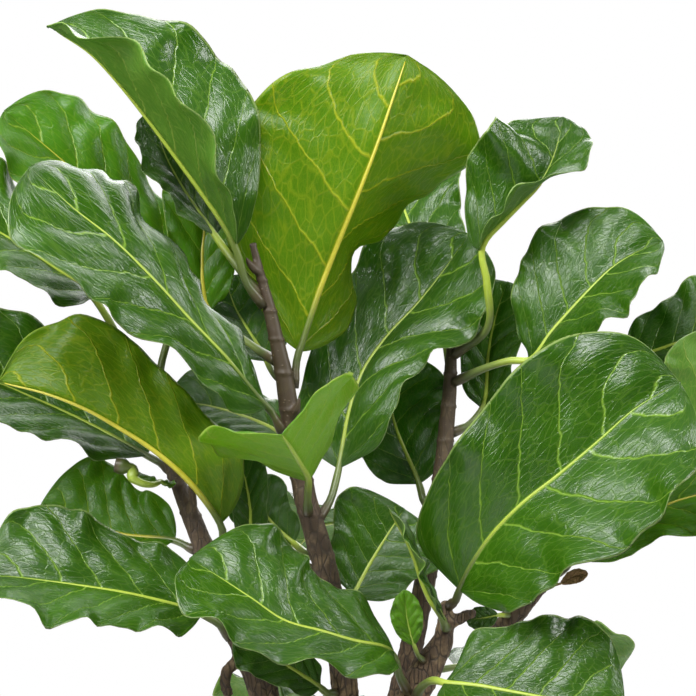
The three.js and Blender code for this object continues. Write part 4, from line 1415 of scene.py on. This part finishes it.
@dataclass
class Studio:
    """A plain pale floor, a white surround, soft lights and the camera level with the crown."""

    camera_distance: float = 2.4
    camera_height: float = 0.818
    sensor: float = 36.0
    frame_width: float = 0.6264
    floor_radius: float = 3.4
    horizon_light: float = 0.07
    sky_light: float = 0.5

    def build(self) -> None:
        """Builds the floor, lights and camera."""
        self.floor()
        self.surround()
        self.lamp("left_softbox", (-1.6, -0.9, 1.7), (0.0, 0.0, 0.8), 0.7, 34.0)
        self.lamp("high_softbox", (-0.5, -1.15, 2.4), (0.05, 0.0, 0.8), 1.0, 70.0)
        self.lamp("right_softbox", (1.6, -0.5, 1.7), (0.05, 0.0, 0.8), 0.6, 26.0)
        self.lamp("back_light", (0.4, 1.7, 2.1), (0.0, 0.0, 0.8), 1.8, 74.0)
        self.camera()
        bpy.context.scene.view_settings.view_transform = "Standard"

    def floor(self) -> None:
        """The pale floor disc under the saucer."""
        angles = np.linspace(0, TAU, 160, endpoint=False)
        mesh = bpy.data.meshes.new("floor")
        corners = [(self.floor_radius * math.cos(a), self.floor_radius * math.sin(a), 0.0) for a in angles]
        mesh.from_pydata(corners, [], [list(range(len(corners)))])
        sketch = NodeSketch("floor_paint")
        speck = sketch.noise(sketch.add("TexCoord").outputs["Object"], 90.0, 3.0)
        colour = sketch.blend(speck, rgb(0.80, 0.80, 0.79), rgb(0.84, 0.84, 0.83))
        shader = sketch.add("BsdfPrincipled", {"Base Color": colour, "Roughness": 0.7})
        sketch.put(sketch.output.inputs["Surface"], shader.outputs[0])
        mesh.materials.append(sketch.material)
        floor = bpy.data.objects.new("floor", mesh)
        bpy.context.scene.collection.objects.link(floor)

    def surround(self) -> None:
        """The even white surround, softer as a light than it looks."""
        world = bpy.data.worlds.new("white_surround")
        bpy.context.scene.world = world
        world.use_nodes = True
        tree = world.node_tree
        tree.nodes.clear()
        seen = tree.nodes.new("ShaderNodeBackground")
        seen.inputs["Color"].default_value = (1, 1, 1, 1)
        seen.inputs["Strength"].default_value = 1.0
        place = tree.nodes.new("ShaderNodeTexCoord")
        parts = tree.nodes.new("ShaderNodeSeparateXYZ")
        tree.links.new(place.outputs["Generated"], parts.inputs[0])
        rise = tree.nodes.new("ShaderNodeMapRange")
        tree.links.new(parts.outputs[2], rise.inputs["Value"])
        rise.inputs["From Min"].default_value = 0.1
        rise.inputs["From Max"].default_value = 0.9
        rise.inputs["To Min"].default_value = self.horizon_light
        rise.inputs["To Max"].default_value = self.sky_light
        lit = tree.nodes.new("ShaderNodeBackground")
        lit.inputs["Color"].default_value = (1.0, 1.0, 0.98, 1)
        tree.links.new(rise.outputs["Result"], lit.inputs["Strength"])
        path = tree.nodes.new("ShaderNodeLightPath")
        mix = tree.nodes.new("ShaderNodeMixShader")
        out = tree.nodes.new("ShaderNodeOutputWorld")
        tree.links.new(path.outputs["Is Camera Ray"], mix.inputs[0])
        tree.links.new(lit.outputs[0], mix.inputs[1])
        tree.links.new(seen.outputs[0], mix.inputs[2])
        tree.links.new(mix.outputs[0], out.inputs["Surface"])

    @staticmethod
    def lamp(name: str, place: tuple, aim: tuple, size: float, power: float) -> None:
        """A soft square light.

        Args:
            name: The light's name.
            place: Where it stands.
            aim: What it points at.
            size: Its side.
            power: Its power in watts.
        """
        data = bpy.data.lights.new(name, "AREA")
        data.size = size
        data.energy = power
        light = bpy.data.objects.new(name, data)
        light.location = place
        light.rotation_euler = (Vector(aim) - Vector(place)).to_track_quat("-Z", "Y").to_euler()
        bpy.context.scene.collection.objects.link(light)

    def camera(self) -> None:
        """The camera, level with the crown and looking along +Y."""
        data = bpy.data.cameras.new("camera")
        data.sensor_width = self.sensor
        data.lens = self.sensor * self.camera_distance / self.frame_width
        camera = bpy.data.objects.new("camera", data)
        camera.location = (0.0, -self.camera_distance, self.camera_height)
        camera.rotation_euler = (math.pi / 2, 0.0, 0.0)
        bpy.context.scene.collection.objects.link(camera)
        bpy.context.scene.camera = camera


# ---- the whole plant ------------------------------------------------------------------------------


def leaf_kinds() -> dict:
    """The kind of each leaf node, from the record's material slots.

    Returns:
        Leaf kinds by node name.
    """
    kinds = {}
    for part in frame["record"]["subparts"]:
        if "leaf" in part["node"]:
            kinds[part["node"]] = LeafKind(part["material_slot"])
    return kinds


def main() -> None:
    """Builds the plant from the ground up."""
    logging.basicConfig(level=logging.INFO, format="%(message)s")
    clay = ClayFinish().dress("fired_clay")
    for piece in (ClaySaucer().build(clay), ClayPot().build(clay), *Soil().build()):
        LOG.info("%s: %d faces", piece.name, len(piece.data.polygons))
    bark = BarkFinish().dress()
    for name in sorted(frame["nodes"]):
        if name.startswith("stem"):
            piece = Stem(name).build(bark)
            LOG.info("%s: %d faces", piece.name, len(piece.data.polygons))
    dressed = {kind: finish.dress() for kind, finish in FINISH_OF.items()}
    for name, kind in sorted(leaf_kinds().items()):
        piece = Leaf(name, kind).build(dressed[kind])
        LOG.info("%s: %d faces", piece.name, len(piece.data.polygons))
    Studio().build()


if __name__ == "__main__":
    main()
